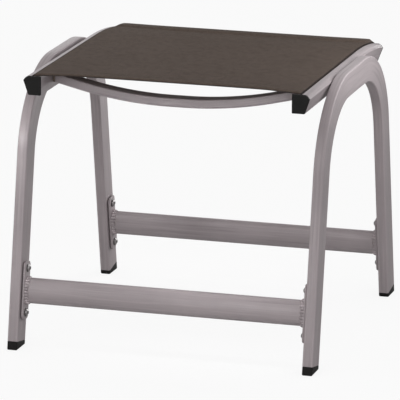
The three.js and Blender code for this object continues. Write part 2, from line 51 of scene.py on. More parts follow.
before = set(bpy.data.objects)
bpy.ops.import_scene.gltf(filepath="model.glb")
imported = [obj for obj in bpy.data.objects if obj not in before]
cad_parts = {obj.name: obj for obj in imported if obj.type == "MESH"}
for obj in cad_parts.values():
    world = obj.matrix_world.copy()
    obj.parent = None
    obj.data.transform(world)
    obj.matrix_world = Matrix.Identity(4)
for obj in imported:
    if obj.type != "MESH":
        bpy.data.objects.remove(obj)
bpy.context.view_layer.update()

SIDES = {"right": 1, "left": -1}
ENDS = {"front": -1, "rear": 1}
BODY = "root"

GAP = 0.0003  # between neighbouring pieces
ROD_RADIUS = 0.0022  # of the sling's edge rods


# Sizes and colours that a user would change


def length(name, description, default):
    """A length in metres."""
    return FloatProperty(
        name=name, description=description, default=default, unit="LENGTH", min=0, precision=5
    )


def angle(name, description, degrees):
    """An angle, given in degrees and stored in radians."""
    return FloatProperty(
        name=name, description=description, default=math.radians(degrees), subtype="ANGLE"
    )


def share(name, description, default):
    """A number between nothing and the whole."""
    return FloatProperty(
        name=name, description=description, default=default, min=0, max=1, subtype="FACTOR"
    )


def power(name, description, default):
    """Strength of a light."""
    return FloatProperty(name=name, description=description, default=default, min=0)


def count(name, description, default):
    """A whole number of steps or rows."""
    return IntProperty(name=name, description=description, default=default, min=1)


def colour(name, description, default):
    """A linear colour."""
    return FloatVectorProperty(
        name=name, description=description, default=default, subtype="COLOR", size=3, min=0, max=1
    )


class LegSettings(bpy.types.PropertyGroup):
    """Bent leg frames, their foot caps and the coat on them."""

    lean: angle("Lean", "Angle of a leg from upright", 10.1)
    across: length("Tube width", "Narrow side of the flat tube", 0.016)
    depth: length("Tube depth", "Wide side of the flat tube", 0.039)
    corner: length("Tube corner", "Outer corner radius of the flat tube", 0.0024)
    bend: length("Bend radius", "Radius of the bend at the tube's centre line", 0.132)
    bend_steps: count("Bend steps", "Steps around one bend", 36)
    cap_height: length("Foot cap height", "Height of a foot cap at the leg's axis", 0.010)
    cap_ease: length("Foot cap edge", "Eased edge around the sole", 0.0016)
    coat: colour("Coat", "Colour of the powder coat", (0.40, 0.350, 0.362))
    plastic: colour("Black plastic", "Colour of the moulded caps", (0.0125, 0.012, 0.0115))


class RailSettings(bpy.types.PropertyGroup):
    """Slotted seat rails and their end caps, sizes of the section."""

    base: length("Base width", "Width of the rail's flat underside", 0.0196)
    width: length("Width", "Widest part of the rail, at the ridge", 0.0273)
    height: length("Height", "Height of the rail", 0.0288)
    ridge: length("Ridge height", "Height of the outer ridge", 0.0226)
    shoulder: length("Shoulder", "Width of the slope from the ridge to the crown", 0.009)
    corner: length("Corner", "Rounding of the rail's corners", 0.0012)
    slot: length("Slot place", "Distance from the inner wall to the slot", 0.0134)
    slot_depth: length("Slot depth", "Depth of the slot's centre below the crown", 0.0058)
    slot_radius: length("Slot radius", "Radius of the slot's round part", 0.0041)
    slot_mouth: length("Slot mouth", "Half the width of the slot's mouth", 0.0017)
    half: length("Half length", "Half the length of the rail along its path", 0.214)
    drop_start: length("Drop start", "Where the rail starts to drop at the back", 0.09994)
    drop_radius: length("Drop radius", "Radius of the arc that the rail drops on", 0.600)
    drop_steps: count("Drop steps", "Steps along the drop", 24)
    cap: length("End cap flange", "Thickness of an end cap's flange", 0.0032)
    cap_ease: length("End cap edge", "Eased edge of an end cap", 0.0010)


class SlingSettings(bpy.types.PropertyGroup):
    """Sling, its weave, hems and seams."""

    thickness: length("Thickness", "Thickness of the woven mesh", 0.0011)
    half: length("Half length", "Half the length of the sling along the rails", 0.2136)
    rear_curl: length("Rear curl", "How far the rear hem curls up from the rails' arc", 0.0018)
    bow: length("Edge bow", "How far the free edges curve in at the middle", 0.011)
    hem: length("Hem width", "Width of the folded hems", 0.026)
    hem_taper: length("Hem taper", "Length over which the sling rises onto a hem", 0.008)
    hem_rise: length("Hem rise", "Height of a hem's upper layer over the sling", 0.0029)
    across_steps: count("Steps across", "Steps across half the sling", 34)
    along_steps: count("Steps along", "Steps along the open sling", 48)
    pitch: length("Yarn pitch", "Distance between two yarns of the weave", 0.0015)
    seam_inset: length("Seam inset", "Distance from the hem's inner end to its first seam", 0.0032)
    seam_gap: length("Seam gap", "Distance between a hem's two seams", 0.006)
    stitch: length("Stitch", "Length of one stitch", 0.0030)
    stitch_pitch: length("Stitch pitch", "Distance from one stitch to the next", 0.0038)
    thread: length("Thread", "Radius of the sewing thread", 0.00034)
    yarn: colour("Yarn", "Colour of the lengthwise yarns", (0.142, 0.108, 0.090))
    cross_yarn: colour("Cross yarn", "Colour of the crosswise yarns", (0.114, 0.086, 0.071))
    seam: colour("Thread colour", "Colour of the sewing thread", (0.080, 0.062, 0.052))
    edge_stitch: length("Edge stitch", "Length of one stitch over a hem's fold", 0.0014)
    edge_pitch: length("Edge stitch pitch", "Distance between stitches over a hem's fold", 0.0029)
    edge_thread: length("Edge thread", "Radius of the thread over a hem's fold", 0.0005)
    # Near-black as painted shade along the hems' folds.
    edge_seam: colour("Edge thread colour", "Colour of the fold's thread", (0.012, 0.0105, 0.010))


class BraceSettings(bpy.types.PropertyGroup):
    """Spreader bars, stretchers, end plates, welds and bolts."""

    spreader_depth: length("Spreader depth", "Depth of a spreader bar", 0.026)
    spreader_height: length("Spreader height", "Height of a spreader bar's tube", 0.0135)
    spreader_corner: length("Spreader corner", "Corner radius of a spreader bar", 0.002)
    spreader_flat: length("Spreader flat", "Half the level middle of a spreader bar", 0.01163)
    spreader_bend: length("Spreader bend end", "Where a spreader bar becomes straight", 0.15116)
    spreader_slope: share("Spreader slope", "Rise over run of a spreader bar's ends", 0.236)
    stretcher_depth: length("Stretcher depth", "Narrow side of the oval stretcher", 0.020)
    stretcher_height: length("Stretcher height", "Wide side of the oval stretcher", 0.039)
    plate_width: length("Plate width", "Width of a stretcher's end plate", 0.026)
    plate_height: length("Plate height", "Height of a stretcher's end plate", 0.088)
    plate_corner: length("Plate corner", "Corner radius of an end plate", 0.007)
    weld: length("Weld leg", "Height of the weld bead on the plate", 0.0028)
    weld_reach: length("Weld reach", "Reach of the weld bead along the tube", 0.0065)
    ripple: length("Weld ripple", "Distance between two ripples of a weld bead", 0.0046)
    flange: length("Bolt flange", "Radius of a bolt head's flange", 0.0064)
    dome: length("Bolt dome", "Radius of a bolt head's dome", 0.0052)
    head: length("Bolt head", "Height of a bolt head", 0.0041)
    socket: length("Bolt socket", "Width across the flats of a bolt's socket", 0.004)
    steel: colour("Bolt steel", "Colour of the bolts", (0.42, 0.40, 0.40))


class StageSettings(bpy.types.PropertyGroup):
    """Camera, floor and light."""

    place: FloatVectorProperty(
        name="Camera place",
        description="Where the camera stands",
        default=(1.8408, -6.2603, 1.8330),
        unit="LENGTH",
        size=3,
    )
    towards: FloatVectorProperty(
        name="Camera direction",
        description="Direction in which the camera looks",
        default=(-0.2749, 0.9300, -0.2441),
        subtype="DIRECTION",
        size=3,
    )
    roll: angle("Camera roll", "Turn of the camera about its view line", 0.26)
    lens: FloatProperty(
        name="Lens", description="Focal length in millimetres", default=394.8, min=1
    )
    ambient: share("Ambient", "Strength of the even light from all sides", 0.63)
    backdrop: power("Backdrop light", "Strength of the broad light from above and behind", 0.03)
    spread: angle("Spread", "Width of the broad light", 55)
    arch_panel: power("Arch panel", "Strength of the soft light beside the right arch", 0.3)
    leg_panel: power("Leg panel", "Strength of the soft light in front of the left leg", 0.034)
    bend_panel: power("Bend panel", "Strength of the small light by the left bend", 0.009)
    inner_panel: power("Inner panel", "Strength of the soft light inside the left frame", 0.36)
    low_panel: power("Low panel", "Strength of the low light in front of the stretcher", 0.013)
    bar_panel: power("Bar panel", "Strength of the low light on the front spreader", 0.018)
    rear_panel: power("Rear panel", "Strength of the soft light behind the left arch", 0.009)
    top_panel: power("Top panel", "Strength of the soft light above the front stretcher", 0.026)
    front_panel: power("Front panel", "Strength of the large soft light in front", 11.4)
    white: share("Floor white", "Share of the floor's brightness that holds no shadow", 0.88)


def settings(key):
    return getattr(bpy.context.scene, "stool_" + key)


@functools.lru_cache(maxsize=None)
def box(node):
    """Box of a solid. The solids never move, so each is measured once."""
    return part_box(node)


def box_middle(node):
    """Middle of a solid's box."""
    return [(low + high) / 2 for low, high in zip(*box(node))]


# Node trees: sockets that take arithmetic, and one method that adds any other node


class Value:
    """An output socket. Arithmetic on it adds Math nodes to its tree."""

    def __init__(self, nodes, socket):
        self.nodes = nodes
        self.socket = socket

    def math(self, operation, *others, clamp=False):
        inputs = dict(enumerate((self, *others)))
        node = self.nodes.add(
            "ShaderNodeMath", {"operation": operation, "use_clamp": clamp}, inputs
        )
        return self.nodes.out(node)

    def reflected(self, operation, other):
        node = self.nodes.add("ShaderNodeMath", {"operation": operation}, {0: other, 1: self})
        return self.nodes.out(node)

    def __add__(self, other):
        return self.math("ADD", other)

    def __sub__(self, other):
        return self.math("SUBTRACT", other)

    def __mul__(self, other):
        return self.math("MULTIPLY", other)

    def __truediv__(self, other):
        return self.math("DIVIDE", other)

    def __pow__(self, other):
        return self.math("POWER", other)

    def __gt__(self, other):
        return self.math("GREATER_THAN", other)

    def __lt__(self, other):
        return self.math("LESS_THAN", other)

    def __abs__(self):
        return self.math("ABSOLUTE")

    def __rsub__(self, other):
        return self.reflected("SUBTRACT", other)

    def __rtruediv__(self, other):
        return self.reflected("DIVIDE", other)

    __radd__ = __add__
    __rmul__ = __mul__

    def clamped(self):
        return self.math("ADD", 0.0, clamp=True)

    def between(self, low, high):
        """0 below low, 1 above high and a smooth rise between them."""
        node = self.nodes.add(
            "ShaderNodeMapRange",
            {"interpolation_type": "SMOOTHSTEP"},
            {"Value": self, "From Min": low, "From Max": high},
        )
        return self.nodes.out(node)


class Nodes:
    """Adds nodes to one tree."""

    def __init__(self, tree):
        self.tree = tree
        tree.nodes.clear()

    def add(self, kind, settings=None, sockets=None):
        node = self.tree.nodes.new(kind)
        for key, value in (settings or {}).items():
            setattr(node, key, value)
        for key, value in (sockets or {}).items():
            self.feed(node.inputs[key], value)
        return node

    def feed(self, socket, value):
        if isinstance(value, Value):
            self.tree.links.new(value.socket, socket)
        elif socket.type == "RGBA" and len(value) == 3:
            socket.default_value = (*value, 1.0)
        else:
            socket.default_value = value

    def out(self, node, key=0):
        return Value(self, node.outputs[key])

    def made(self, kind, settings=None, sockets=None, key=0):
        """The output of a new node."""
        return self.out(self.add(kind, settings, sockets), key)

    def split(self, vector):
        """The X, Y and Z of a vector."""
        node = self.add("ShaderNodeSeparateXYZ", None, {0: vector})
        return [self.out(node, axis) for axis in range(3)]

    def joined(self, **parts):
        """A vector from its X, Y and Z."""
        return self.made("ShaderNodeCombineXYZ", None, parts)

    def mix(self, factor, low, high):
        """Colour between two colours."""
        sockets = {0: factor, 6: low, 7: high}
        return self.made("ShaderNodeMix", {"data_type": "RGBA"}, sockets, 2)


class Surface(Nodes):
    """The nodes of a material or a world."""

    def __init__(self, owners, name):
        self.owner = owners.get(name) or owners.new(name)
        self.owner.use_nodes = True
        super().__init__(self.owner.node_tree)

    def show(self, shader, kind="Material"):
        """The material or world, with a shader as its surface."""
        self.add("ShaderNodeOutput" + kind, None, {"Surface": shader})
        return self.owner


class Finish(Surface):
    """A surface finish: a Principled shader and the nodes that feed it."""

    def __init__(self, name):
        super().__init__(bpy.data.materials, name)

    def set(self, **sockets):
        """The finished material."""
        named = {key.replace("_", " "): value for key, value in sockets.items()}
        return self.show(self.made("ShaderNodeBsdfPrincipled", None, named))

    def place(self, scale=None, kind="Object"):
        """Coordinates, stretched where a pattern runs along the piece."""
        spot = self.made("ShaderNodeTexCoord", key=kind)
        if scale is None:
            return spot
        return self.made("ShaderNodeMapping", None, {"Vector": spot, "Scale": scale})

    def attribute(self, name, key="Fac"):
        return self.made("ShaderNodeAttribute", {"attribute_name": name}, key=key)

    def lengthwise(self, across, along):
        """Place in a drawn tube's section and along it, for streaks that run with it."""
        sockets = {0: self.attribute("drawn", "Vector"), "Scale": across}
        section = self.made("ShaderNodeVectorMath", {"operation": "SCALE"}, sockets)
        run = self.joined(Z=self.attribute("run") * along)
        return self.made("ShaderNodeVectorMath", {"operation": "ADD"}, {0: section, 1: run})

    def noise(self, scale, detail=2.0, rough=0.5, vector=None):
        spot = vector or self.place()
        sockets = {"Vector": spot, "Scale": scale, "Detail": detail, "Roughness": rough}
        return self.made("ShaderNodeTexNoise", {"normalize": True}, sockets)

    def bump(self, height, distance, strength=1.0, normal=None):
        sockets = {"Height": height, "Distance": distance, "Strength": strength}
        if normal is not None:
            sockets["Normal"] = normal
        return self.made("ShaderNodeBump", None, sockets)


def tinted(shade, factor):
    return tuple(min(1.0, part * factor) for part in shade)


def powder_coat(name="powder_coat", drawn=True):
    """Satin powder coat: fine flow texture and soft clouds. Drawn tubes show die lines and a
    painted highlight on their edges.
    """
    coat = Finish(name)
    shade = tuple(settings("legs").coat)
    clouds = coat.noise(14.0, 3.0)
    fleck = coat.noise(2600.0, 1.0)
    dust = coat.noise(240.0, 4.0, 0.7)
    tone = coat.mix(clouds.between(0.3, 0.7), tinted(shade, 0.95), tinted(shade, 1.05))
    tone = coat.mix(fleck.between(0.62, 0.72) * 0.30, tone, tinted(shade, 1.6))
    tone = coat.mix(dust.between(0.60, 0.80) * 0.10, tone, tinted(shade, 0.62))
    flow = coat.noise(950.0, 2.0)
    height = flow * 0.5 + clouds * 0.5
    rough = clouds * 0.10 + dust * 0.06 + 0.36
    if drawn:
        streaks = coat.noise(1.0, 3.0, 0.6, coat.lengthwise(330.0, 7.0))
        lines = coat.noise(1.0, 2.0, vector=coat.lengthwise(1500.0, 12.0))
        edge = coat.attribute("edge").between(0.0, 1.0)
        tone = coat.mix(streaks.between(0.52, 0.72) * 0.75, tone, tinted(shade, 1.20))
        tone = coat.mix(streaks.between(0.48, 0.28) * 0.75, tone, tinted(shade, 0.76))
        # Painted highlight: the coat is lighter on the corners and ridges marked as edges.
        tone = coat.mix(edge * 0.16, tone, tinted(shade, 1.65))
        height = height + lines * 0.7
        rough = rough + streaks * 0.06
    return coat.set(
        Base_Color=tone,
        Metallic=0.08,
        Roughness=rough,
        Normal=coat.bump(height, 0.00012, 0.35),
        Specular_IOR_Level=0.22,
        Coat_Weight=0.25,
        Coat_Roughness=0.27,
    )


def weld_metal(middle):
    """Coated weld bead with painted highlight: pale flecks in its colour, most where it goes round
    the tube's ends, which are glossier than its flat sides.
    """
    bead = Finish("weld_bead_coat")
    shade = tuple(settings("legs").coat)
    grain = bead.noise(700.0, 3.0)
    height = bead.split(bead.place())[2]
    rounds = abs(height - middle).between(0.007, 0.014)
    # Painted highlight: pale flecks, most at the bead's top and bottom.
    painted_glints = grain.between(0.35, 0.65) * (rounds * 0.8 + 0.2)
    return bead.set(
        Base_Color=bead.mix(painted_glints, tinted(shade, 0.95), tinted(shade, 1.60)),
        Metallic=0.35,
        Roughness=grain * 0.15 + 0.43 - rounds * 0.25,
        Normal=bead.bump(grain, 0.00015, 0.5),
    )


def black_plastic():
    """Moulded black plastic with a fine spark texture and paler rubbed spots."""
    cap = Finish("black_plastic")
    shade = tuple(settings("legs").plastic)
    spark = cap.noise(1500.0, 2.0, 0.6)
    rub = cap.noise(55.0, 4.0, 0.65)
    haze = cap.noise(18.0, 2.0)
    tone = cap.mix(haze.between(0.3, 0.7), tinted(shade, 0.8), tinted(shade, 1.25))
    tone = cap.mix(rub.between(0.62, 0.75) * 0.35, tone, tinted(shade, 3.2))
    return cap.set(
        Base_Color=tone,
        Roughness=spark * 0.12 + haze * 0.08 + 0.42,
        Normal=cap.bump(spark, 0.00010, 0.45),
        Specular_IOR_Level=0.2,
    )


def plug_plastic():
    """Dusty dark plastic of the spreader plugs."""
    plug = Finish("plug_plastic")
    dust = plug.noise(300.0, 3.0, 0.6)
    return plug.set(
        Base_Color=plug.mix(dust.between(0.3, 0.7), (0.13, 0.10, 0.08), (0.20, 0.158, 0.13)),
        Roughness=dust * 0.15 + 0.5,
        Normal=plug.bump(dust, 0.00008, 0.4),
        Specular_IOR_Level=0.3,
    )


def sling_mesh():
    """Plain weave of coated yarns in the sling's flat coordinates, with painted shade in its pits
    and by the slots.
    """
    weave = Finish("sling_mesh")
    cloth = settings("sling")
    flat_x, flat_y, _ = weave.split(weave.place(kind="UV"))
    turns = math.pi / cloth.pitch
    wave_u = (flat_x * turns).math("SINE")
    wave_v = (flat_y * turns).math("SINE")
    along, across = abs(wave_u), abs(wave_v)
    over = (wave_u * wave_v) > 0.0
    height_along = along * (across * 0.35 + 0.65)
    height_across = across * (along * 0.35 + 0.65)
    height = over * height_along + (1 - over) * height_across
    pit_shade = 1 - height.between(0.12, 0.50)
    clouds = weave.noise(9.0, 3.0)
    slub = weave.noise(1.0, 2.0, vector=weave.place((35.0, 700.0, 1.0), "UV"))
    tone = weave.mix(over, tuple(cloth.cross_yarn), tuple(cloth.yarn))
    tone = weave.mix(slub.between(0.35, 0.70) * 0.35, tone, tinted(cloth.yarn, 1.35))
    patches = weave.noise(130.0, 2.0, 0.6)
    tone = weave.mix(clouds.between(0.3, 0.7) * 0.16, tone, tinted(cloth.cross_yarn, 0.75))
    tone = weave.mix(patches.between(0.40, 0.62) * 0.22, tone, tinted(cloth.yarn, 1.35))
    tone = weave.mix(patches.between(0.46, 0.30) * 0.25, tone, tinted(cloth.cross_yarn, 0.6))
    # Painted shade in the pits between the yarns.
    tone = weave.mix(pit_shade * 0.85, tone, (0.010, 0.009, 0.008))
    # Painted shade where the cloth turns down into the slots.
    fold = rail_inner_x() + settings("rails").slot - 0.0024
    slot_shade = (abs(flat_x) - fold).between(0.0, 0.0016)
    tone = weave.mix(slot_shade * 0.75, tone, (0.013, 0.010, 0.011))
    tension = weave.noise(3.2, 2.0, vector=weave.place((1.0, 5.0, 1.0)))
    broad = weave.bump(tension, 0.0022, 0.25)
    return weave.set(
        Base_Color=tone,
        Roughness=slub * 0.12 + 0.66,
        Normal=weave.bump(height, 0.00028, 0.6, broad),
        Specular_IOR_Level=0.06,
    )


def sewing_thread(name, shade):
    """Twisted sewing thread."""
    thread = Finish(name)
    twist = thread.noise(1.0, 2.0, vector=thread.place((5200.0, 1600.0, 1600.0)))
    return thread.set(
        Base_Color=thread.mix(twist.between(0.35, 0.65), tinted(shade, 0.7), tinted(shade, 1.4)),
        Roughness=twist * 0.2 + 0.55,
        Normal=thread.bump(twist, 0.00008, 0.6),
    )


def bolt_steel():
    """Coated steel bolt heads with turning marks around each head; the flange ring and the socket
    have painted shade and are less metallic.
    """
    steel = Finish("bolt_steel")
    shade = tuple(settings("braces").steel)
    wear = steel.noise(420.0, 3.0, 0.6)
    fine = steel.noise(1.0, 2.0, vector=steel.place((260.0, 3400.0, 3400.0)))
    tone = steel.mix(wear.between(0.35, 0.7), tinted(shade, 0.85), tinted(shade, 1.25))
    # Painted shade, darker and less metallic, on the flange ring and in the socket.
    dull = steel.attribute("dull")
    return steel.set(
        Base_Color=steel.mix(dull, tone, (0.035, 0.032, 0.030)),
        Metallic=0.85 - dull * 0.55,
        Roughness=wear * 0.14 + fine * 0.08 + 0.24,
        Normal=steel.bump(fine + wear * 0.5, 0.00005, 0.4),
    )


def zinc_steel():
    """Yellow passivated zinc on the rivet nuts."""
    zinc = Finish("zinc_steel")
    cloud = zinc.noise(160.0, 3.0, 0.6)
    tone = zinc.mix(cloud.between(0.3, 0.7), (0.50, 0.44, 0.30), (0.62, 0.58, 0.47))
    return zinc.set(
        Base_Color=tone,
        Metallic=0.95,
        Roughness=cloud * 0.2 + 0.25,
        Normal=zinc.bump(cloud, 0.00006, 0.4),
    )


def rod_plastic():
    """Extruded rod with faint lengthwise lines."""
    rod = Finish("rod_plastic")
    lines = rod.noise(1.0, 2.0, vector=rod.place((1800.0, 12.0, 1800.0)))
    return rod.set(
        Base_Color=rod.mix(lines.between(0.3, 0.7), (0.030, 0.027, 0.024), (0.052, 0.046, 0.041)),
        Roughness=lines * 0.15 + 0.45,
        Normal=rod.bump(lines, 0.00008, 0.4),
    )


# Meshes and pieces


def discard(name):
    """Removes an earlier piece of the same name."""
    old = bpy.data.objects.get(name)
    if old is not None:
        bpy.data.objects.remove(old)


def linked(name, mesh):
    discard(name)
    obj = bpy.data.objects.new(name, mesh)
    bpy.context.scene.collection.objects.link(obj)
    return obj


def wire(name, points, closed=False, edge=None):
    """Mesh of one line of edges for a node tree to follow. Its points can be marked as edges, which
    the coat paints with a highlight.
    """
    edges = [(i, i + 1) for i in range(len(points) - 1)]
    if closed:
        edges.append((len(points) - 1, 0))
    mesh = bpy.data.meshes.new(name)
    mesh.from_pydata([tuple(point) for point in points], edges, [])
    if edge is not None:
        mesh.attributes.new("edge", "FLOAT", "POINT").data.foreach_set("value", edge)
    return mesh


def loft(name, rings):
    """Closed skin through rings of the same number of points."""
    size = len(rings[0])
    points = [tuple(point) for ring in rings for point in ring]
    faces = []
    for i in range(len(rings) - 1):
        for k in range(size):
            near, far = i * size, (i + 1) * size
            faces.append((near + k, near + (k + 1) % size, far + (k + 1) % size, far + k))
    faces.append(tuple(range(size - 1, -1, -1)))
    faces.append(tuple(range((len(rings) - 1) * size, len(rings) * size)))
    mesh = bpy.data.meshes.new(name)
    mesh.from_pydata(points, [], faces)
    return mesh


def outward(mesh):
    """Turns a closed skin's faces outwards."""
    solid = bmesh.new()
    solid.from_mesh(mesh)
    bmesh.ops.recalc_face_normals(solid, faces=solid.faces)
    if solid.calc_volume(signed=True) < 0:
        bmesh.ops.reverse_faces(solid, faces=solid.faces)
    solid.to_mesh(mesh)
    solid.free()
    mesh.update()
    return mesh


def smoothed(mesh, crease=40):
    """Smooth shading with sharp edges where the surface turns."""
    mesh.shade_smooth()
    mesh.set_sharp_from_angle(angle=math.radians(crease))
    return mesh


def input_key(tree, label):
    """The identifier of a tree's named input."""
    for item in tree.interface.items_tree:
        if item.item_type == "SOCKET" and item.in_out == "INPUT" and item.name == label:
            return item.identifier
    raise KeyError(label)


def evaluated(obj):
    """Plain mesh of an object with its modifiers."""
    graph = bpy.context.evaluated_depsgraph_get()
    return bpy.data.meshes.new_from_object(obj.evaluated_get(graph))


def grown(name, mesh, tree, inputs):
    """Plain mesh that a node tree makes from a mesh."""
    obj = linked(name, mesh)
    modifier = obj.modifiers.new("Nodes", "NODES")
    modifier.node_group = tree
    for label, value in inputs.items():
        modifier[input_key(tree, label)] = value
    made = evaluated(obj)
    bpy.data.objects.remove(obj)
    if not made.polygons:
        raise RuntimeError(name + ": its node tree made no faces")
    return made


def finished(name, mesh, material, nodes=(), crease=40):
    """A finished piece. Most stand for CAD nodes."""
    obj = linked(name, smoothed(mesh, crease))
    obj.data.materials.clear()
    obj.data.materials.append(material)
    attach(obj, BODY)
    if nodes:
        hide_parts(*nodes)
    return obj


def skinned(name, node, rings, material, crease):
    """A finished piece from the rings of its skin."""
    finished(name, outward(loft(node, rings)), material, [node], crease)


def drawn_piece(name, node, path, tree, inputs, material, crease=40):
    """A finished piece that a node tree draws along a path."""
    mesh = grown(name, wire(name, path), tree, {**inputs, "Material": material})
    finished(name, outward(mesh), material, [node], crease)


def extruded(name, node, path, outline, material, crease=40, edge=None):
    """A finished piece with a closed outline drawn along a path."""
    section = linked("section", wire("section", outline, closed=True, edge=edge))
    inputs = {"Section": section}
    drawn_piece(name, node, path, section_tree(), inputs, material, crease)
    discard("section")


# Geometry trees


class Shape(Nodes):
    """A geometry tree. Its inputs are a geometry, the named ones and a material."""

    kinds = {float: "Float", int: "Int"}

    def __init__(self, name, inputs):
        old = bpy.data.node_groups.get(name)
        if old is not None:
            bpy.data.node_groups.remove(old)
        super().__init__(bpy.data.node_groups.new(name, "GeometryNodeTree"))
        self.socket("Geometry", "Geometry")
        for label, default in inputs.items():
            if default == "Object":
                self.socket(label, "Object")
            else:
                self.socket(label, self.kinds[type(default)]).default_value = default
        self.socket("Material", "Material")
        self.socket("Geometry", "Geometry", "OUTPUT")
        self.source = self.add("NodeGroupInput")

    def socket(self, label, kind, way="INPUT"):
        interface = self.tree.interface
        return interface.new_socket(label, in_out=way, socket_type="NodeSocket" + kind)

    def given(self, label):
        """What the tree is given under a name."""
        return self.out(self.source, label)

    def ended(self, geometry):
        """The tree, with realized instances and its material."""
        whole = self.made("GeometryNodeRealizeInstances", None, {"Geometry": geometry})
        inputs = {"Geometry": whole, "Material": self.given("Material")}
        coated = self.made("GeometryNodeSetMaterial", None, inputs)
        self.add("NodeGroupOutput", None, {"Geometry": coated})
        return self.tree

    def curve(self, line):
        return self.made("GeometryNodeMeshToCurve", None, {0: line})

    def path(self):
        """The line that the tree is given, as a curve."""
        return self.curve(self.given("Geometry"))

    def spaced(self, distance):
        """That line with points at even distances."""
        inputs = {"Curve": self.path(), "Length": distance}
        return self.made("GeometryNodeResampleCurve", {"mode": "LENGTH"}, inputs)

    def thing(self, label):
        """The geometry of an object that the tree is given."""
        inputs = {"Object": self.given(label)}
        return self.made("GeometryNodeObjectInfo", None, inputs, "Geometry")

    def place(self):
        """X, Y and Z of each point."""
        return self.split(self.made("GeometryNodeInputPosition"))

    def uneven(self, low, high):
        """A random number for each point."""
        inputs = {"Min": low, "Max": high, "Seed": self.given("Seed")}
        return self.made("FunctionNodeRandomValue", {"data_type": "FLOAT"}, inputs, 1)

    def following(self, upward):
        """Rotation with its X along the line and its Z towards a direction."""
        kind = "FunctionNodeAlignRotationToVector"
        tangent = self.made("GeometryNodeInputTangent")
        turn = self.made(kind, {"axis": "X"}, {"Vector": tangent})
        inputs = {"Rotation": turn, "Vector": upward}
        return self.made(kind, {"axis": "Z", "pivot_axis": "X"}, inputs)

    def repeated(self, points, piece, rotation, scale=(1.0, 1.0, 1.0)):
        inputs = {"Points": points, "Instance": piece, "Rotation": rotation, "Scale": scale}
        return self.made("GeometryNodeInstanceOnPoints", None, inputs)

    def marked(self, curve, name, value, kind="FLOAT"):
        """Curve that carries a value of its points over to the skin drawn with it."""
        return self.made(
            "GeometryNodeStoreNamedAttribute",
            {"data_type": kind, "domain": "POINT"},
            {"Geometry": curve, "Name": name, "Value": value},
        )

    def drawn_skin(self, path, profile):
        """Skin of a profile along a path. Its points know their place in both."""
        run = self.made("GeometryNodeSplineParameter", key="Length")
        spot = self.made("GeometryNodeInputPosition")
        inputs = {
            "Curve": self.marked(path, "run", run),
            "Profile Curve": self.marked(profile, "drawn", spot, "FLOAT_VECTOR"),
            "Fill Caps": True,
        }
        return self.made("GeometryNodeCurveToMesh", None, inputs)

    def corner_profile(self, width, height, corner, steps):
        """Rounded rectangle whose corner points are marked as edges, for the coat's painted
        highlight.
        """
        inputs = {"Width": width, "Height": height}
        sharp = self.made("GeometryNodeCurvePrimitiveQuadrilateral", None, inputs)
        inputs = {"Curve": sharp, "Count": steps, "Radius": corner}
        rounded = self.made("GeometryNodeFilletCurve", {"mode": "POLY"}, inputs)
        x, y, _ = self.place()
        across = abs(x) > width * 0.5 - corner * 0.85
        up = abs(y) > height * 0.5 - corner * 0.85
        return self.marked(rounded, "edge", across * up)


def flat_tube_tree():
    """Flat tube with rounded corners along the path that it is given."""
    sizes = {"Width": 0.016, "Depth": 0.036, "Corner": 0.004, "Corner steps": 6}
    tube = Shape("flat_tube", sizes)
    profile = tube.corner_profile(*(tube.given(label) for label in sizes))
    return tube.ended(tube.drawn_skin(tube.path(), profile))


def section_tree():
    """A drawn section along the path that it is given."""
    drawn = Shape("drawn_section", {"Section": "Object"})
    outline = drawn.curve(drawn.thing("Section"))
    return drawn.ended(drawn.drawn_skin(drawn.path(), outline))


def bowed_bar_tree():
    """Flat tube along X that bows down: level in the middle, bent, then straight to its ends."""
    sizes = {
        "Depth": 0.026, "Height": 0.0135, "Corner": 0.002, "Flat half": 0.012,
        "Bend end": 0.151, "Slope": 0.236, "Middle height": 0.390, "Steps": 96,
    }
    bar = Shape("bowed_bar", sizes)
    depth, height, corner, flat, end, slope, middle, steps = (bar.given(label) for label in sizes)
    path = bar.made("GeometryNodeResampleCurve", None, {"Curve": bar.path(), "Count": steps})
    skin = bar.drawn_skin(path, bar.corner_profile(depth, height, corner, 6))
    x, _, z = bar.place()
    distance = abs(x)
    bend = end - flat
    into = ((distance - flat) / bend).clamped()
    rise = slope * bend * into * into * 0.5 + slope * (distance - end).math("MAXIMUM", 0.0)
    tilt = slope * into
    stretch = (tilt * tilt + 1.0).math("SQRT") - 1.0
    lift = bar.joined(Z=middle + rise + z * stretch)
    bowed = bar.made("GeometryNodeSetPosition", None, {"Geometry": skin, "Offset": lift})
    return bar.ended(bowed)


def weld_tree():
    """Overlapping ripples of a weld bead along a closed path."""
    sizes = {"Leg": 0.0028, "Reach": 0.0052, "Ripple": 0.0024, "Plate face": 0.2179, "Seed": 3}
    bead = Shape("weld_bead", sizes)
    leg, reach, ripple, face, _ = (bead.given(label) for label in sizes)
    inputs = {"Segments": 12, "Rings": 7, "Radius": 1.0}
    drop = bead.made("GeometryNodeMeshUVSphere", None, inputs, "Mesh")
    inputs = {"Geometry": drop, "Scale": bead.joined(X=ripple * 0.66, Y=leg, Z=reach)}
    lump = bead.made("GeometryNodeTransform", None, inputs)
    along = bead.following((1.0, 0.0, 0.0))
    ripples = bead.repeated(bead.spaced(ripple), lump, along, bead.uneven(0.80, 1.16))
    lumps = bead.made("GeometryNodeRealizeInstances", None, {"Geometry": ripples})
    x, y, z = bead.place()
    kept = x.math("MINIMUM", face).math("MAXIMUM", face * -1.0)
    inputs = {"Geometry": lumps, "Position": bead.joined(X=kept, Y=y, Z=z)}
    return bead.ended(bead.made("GeometryNodeSetPosition", None, inputs))


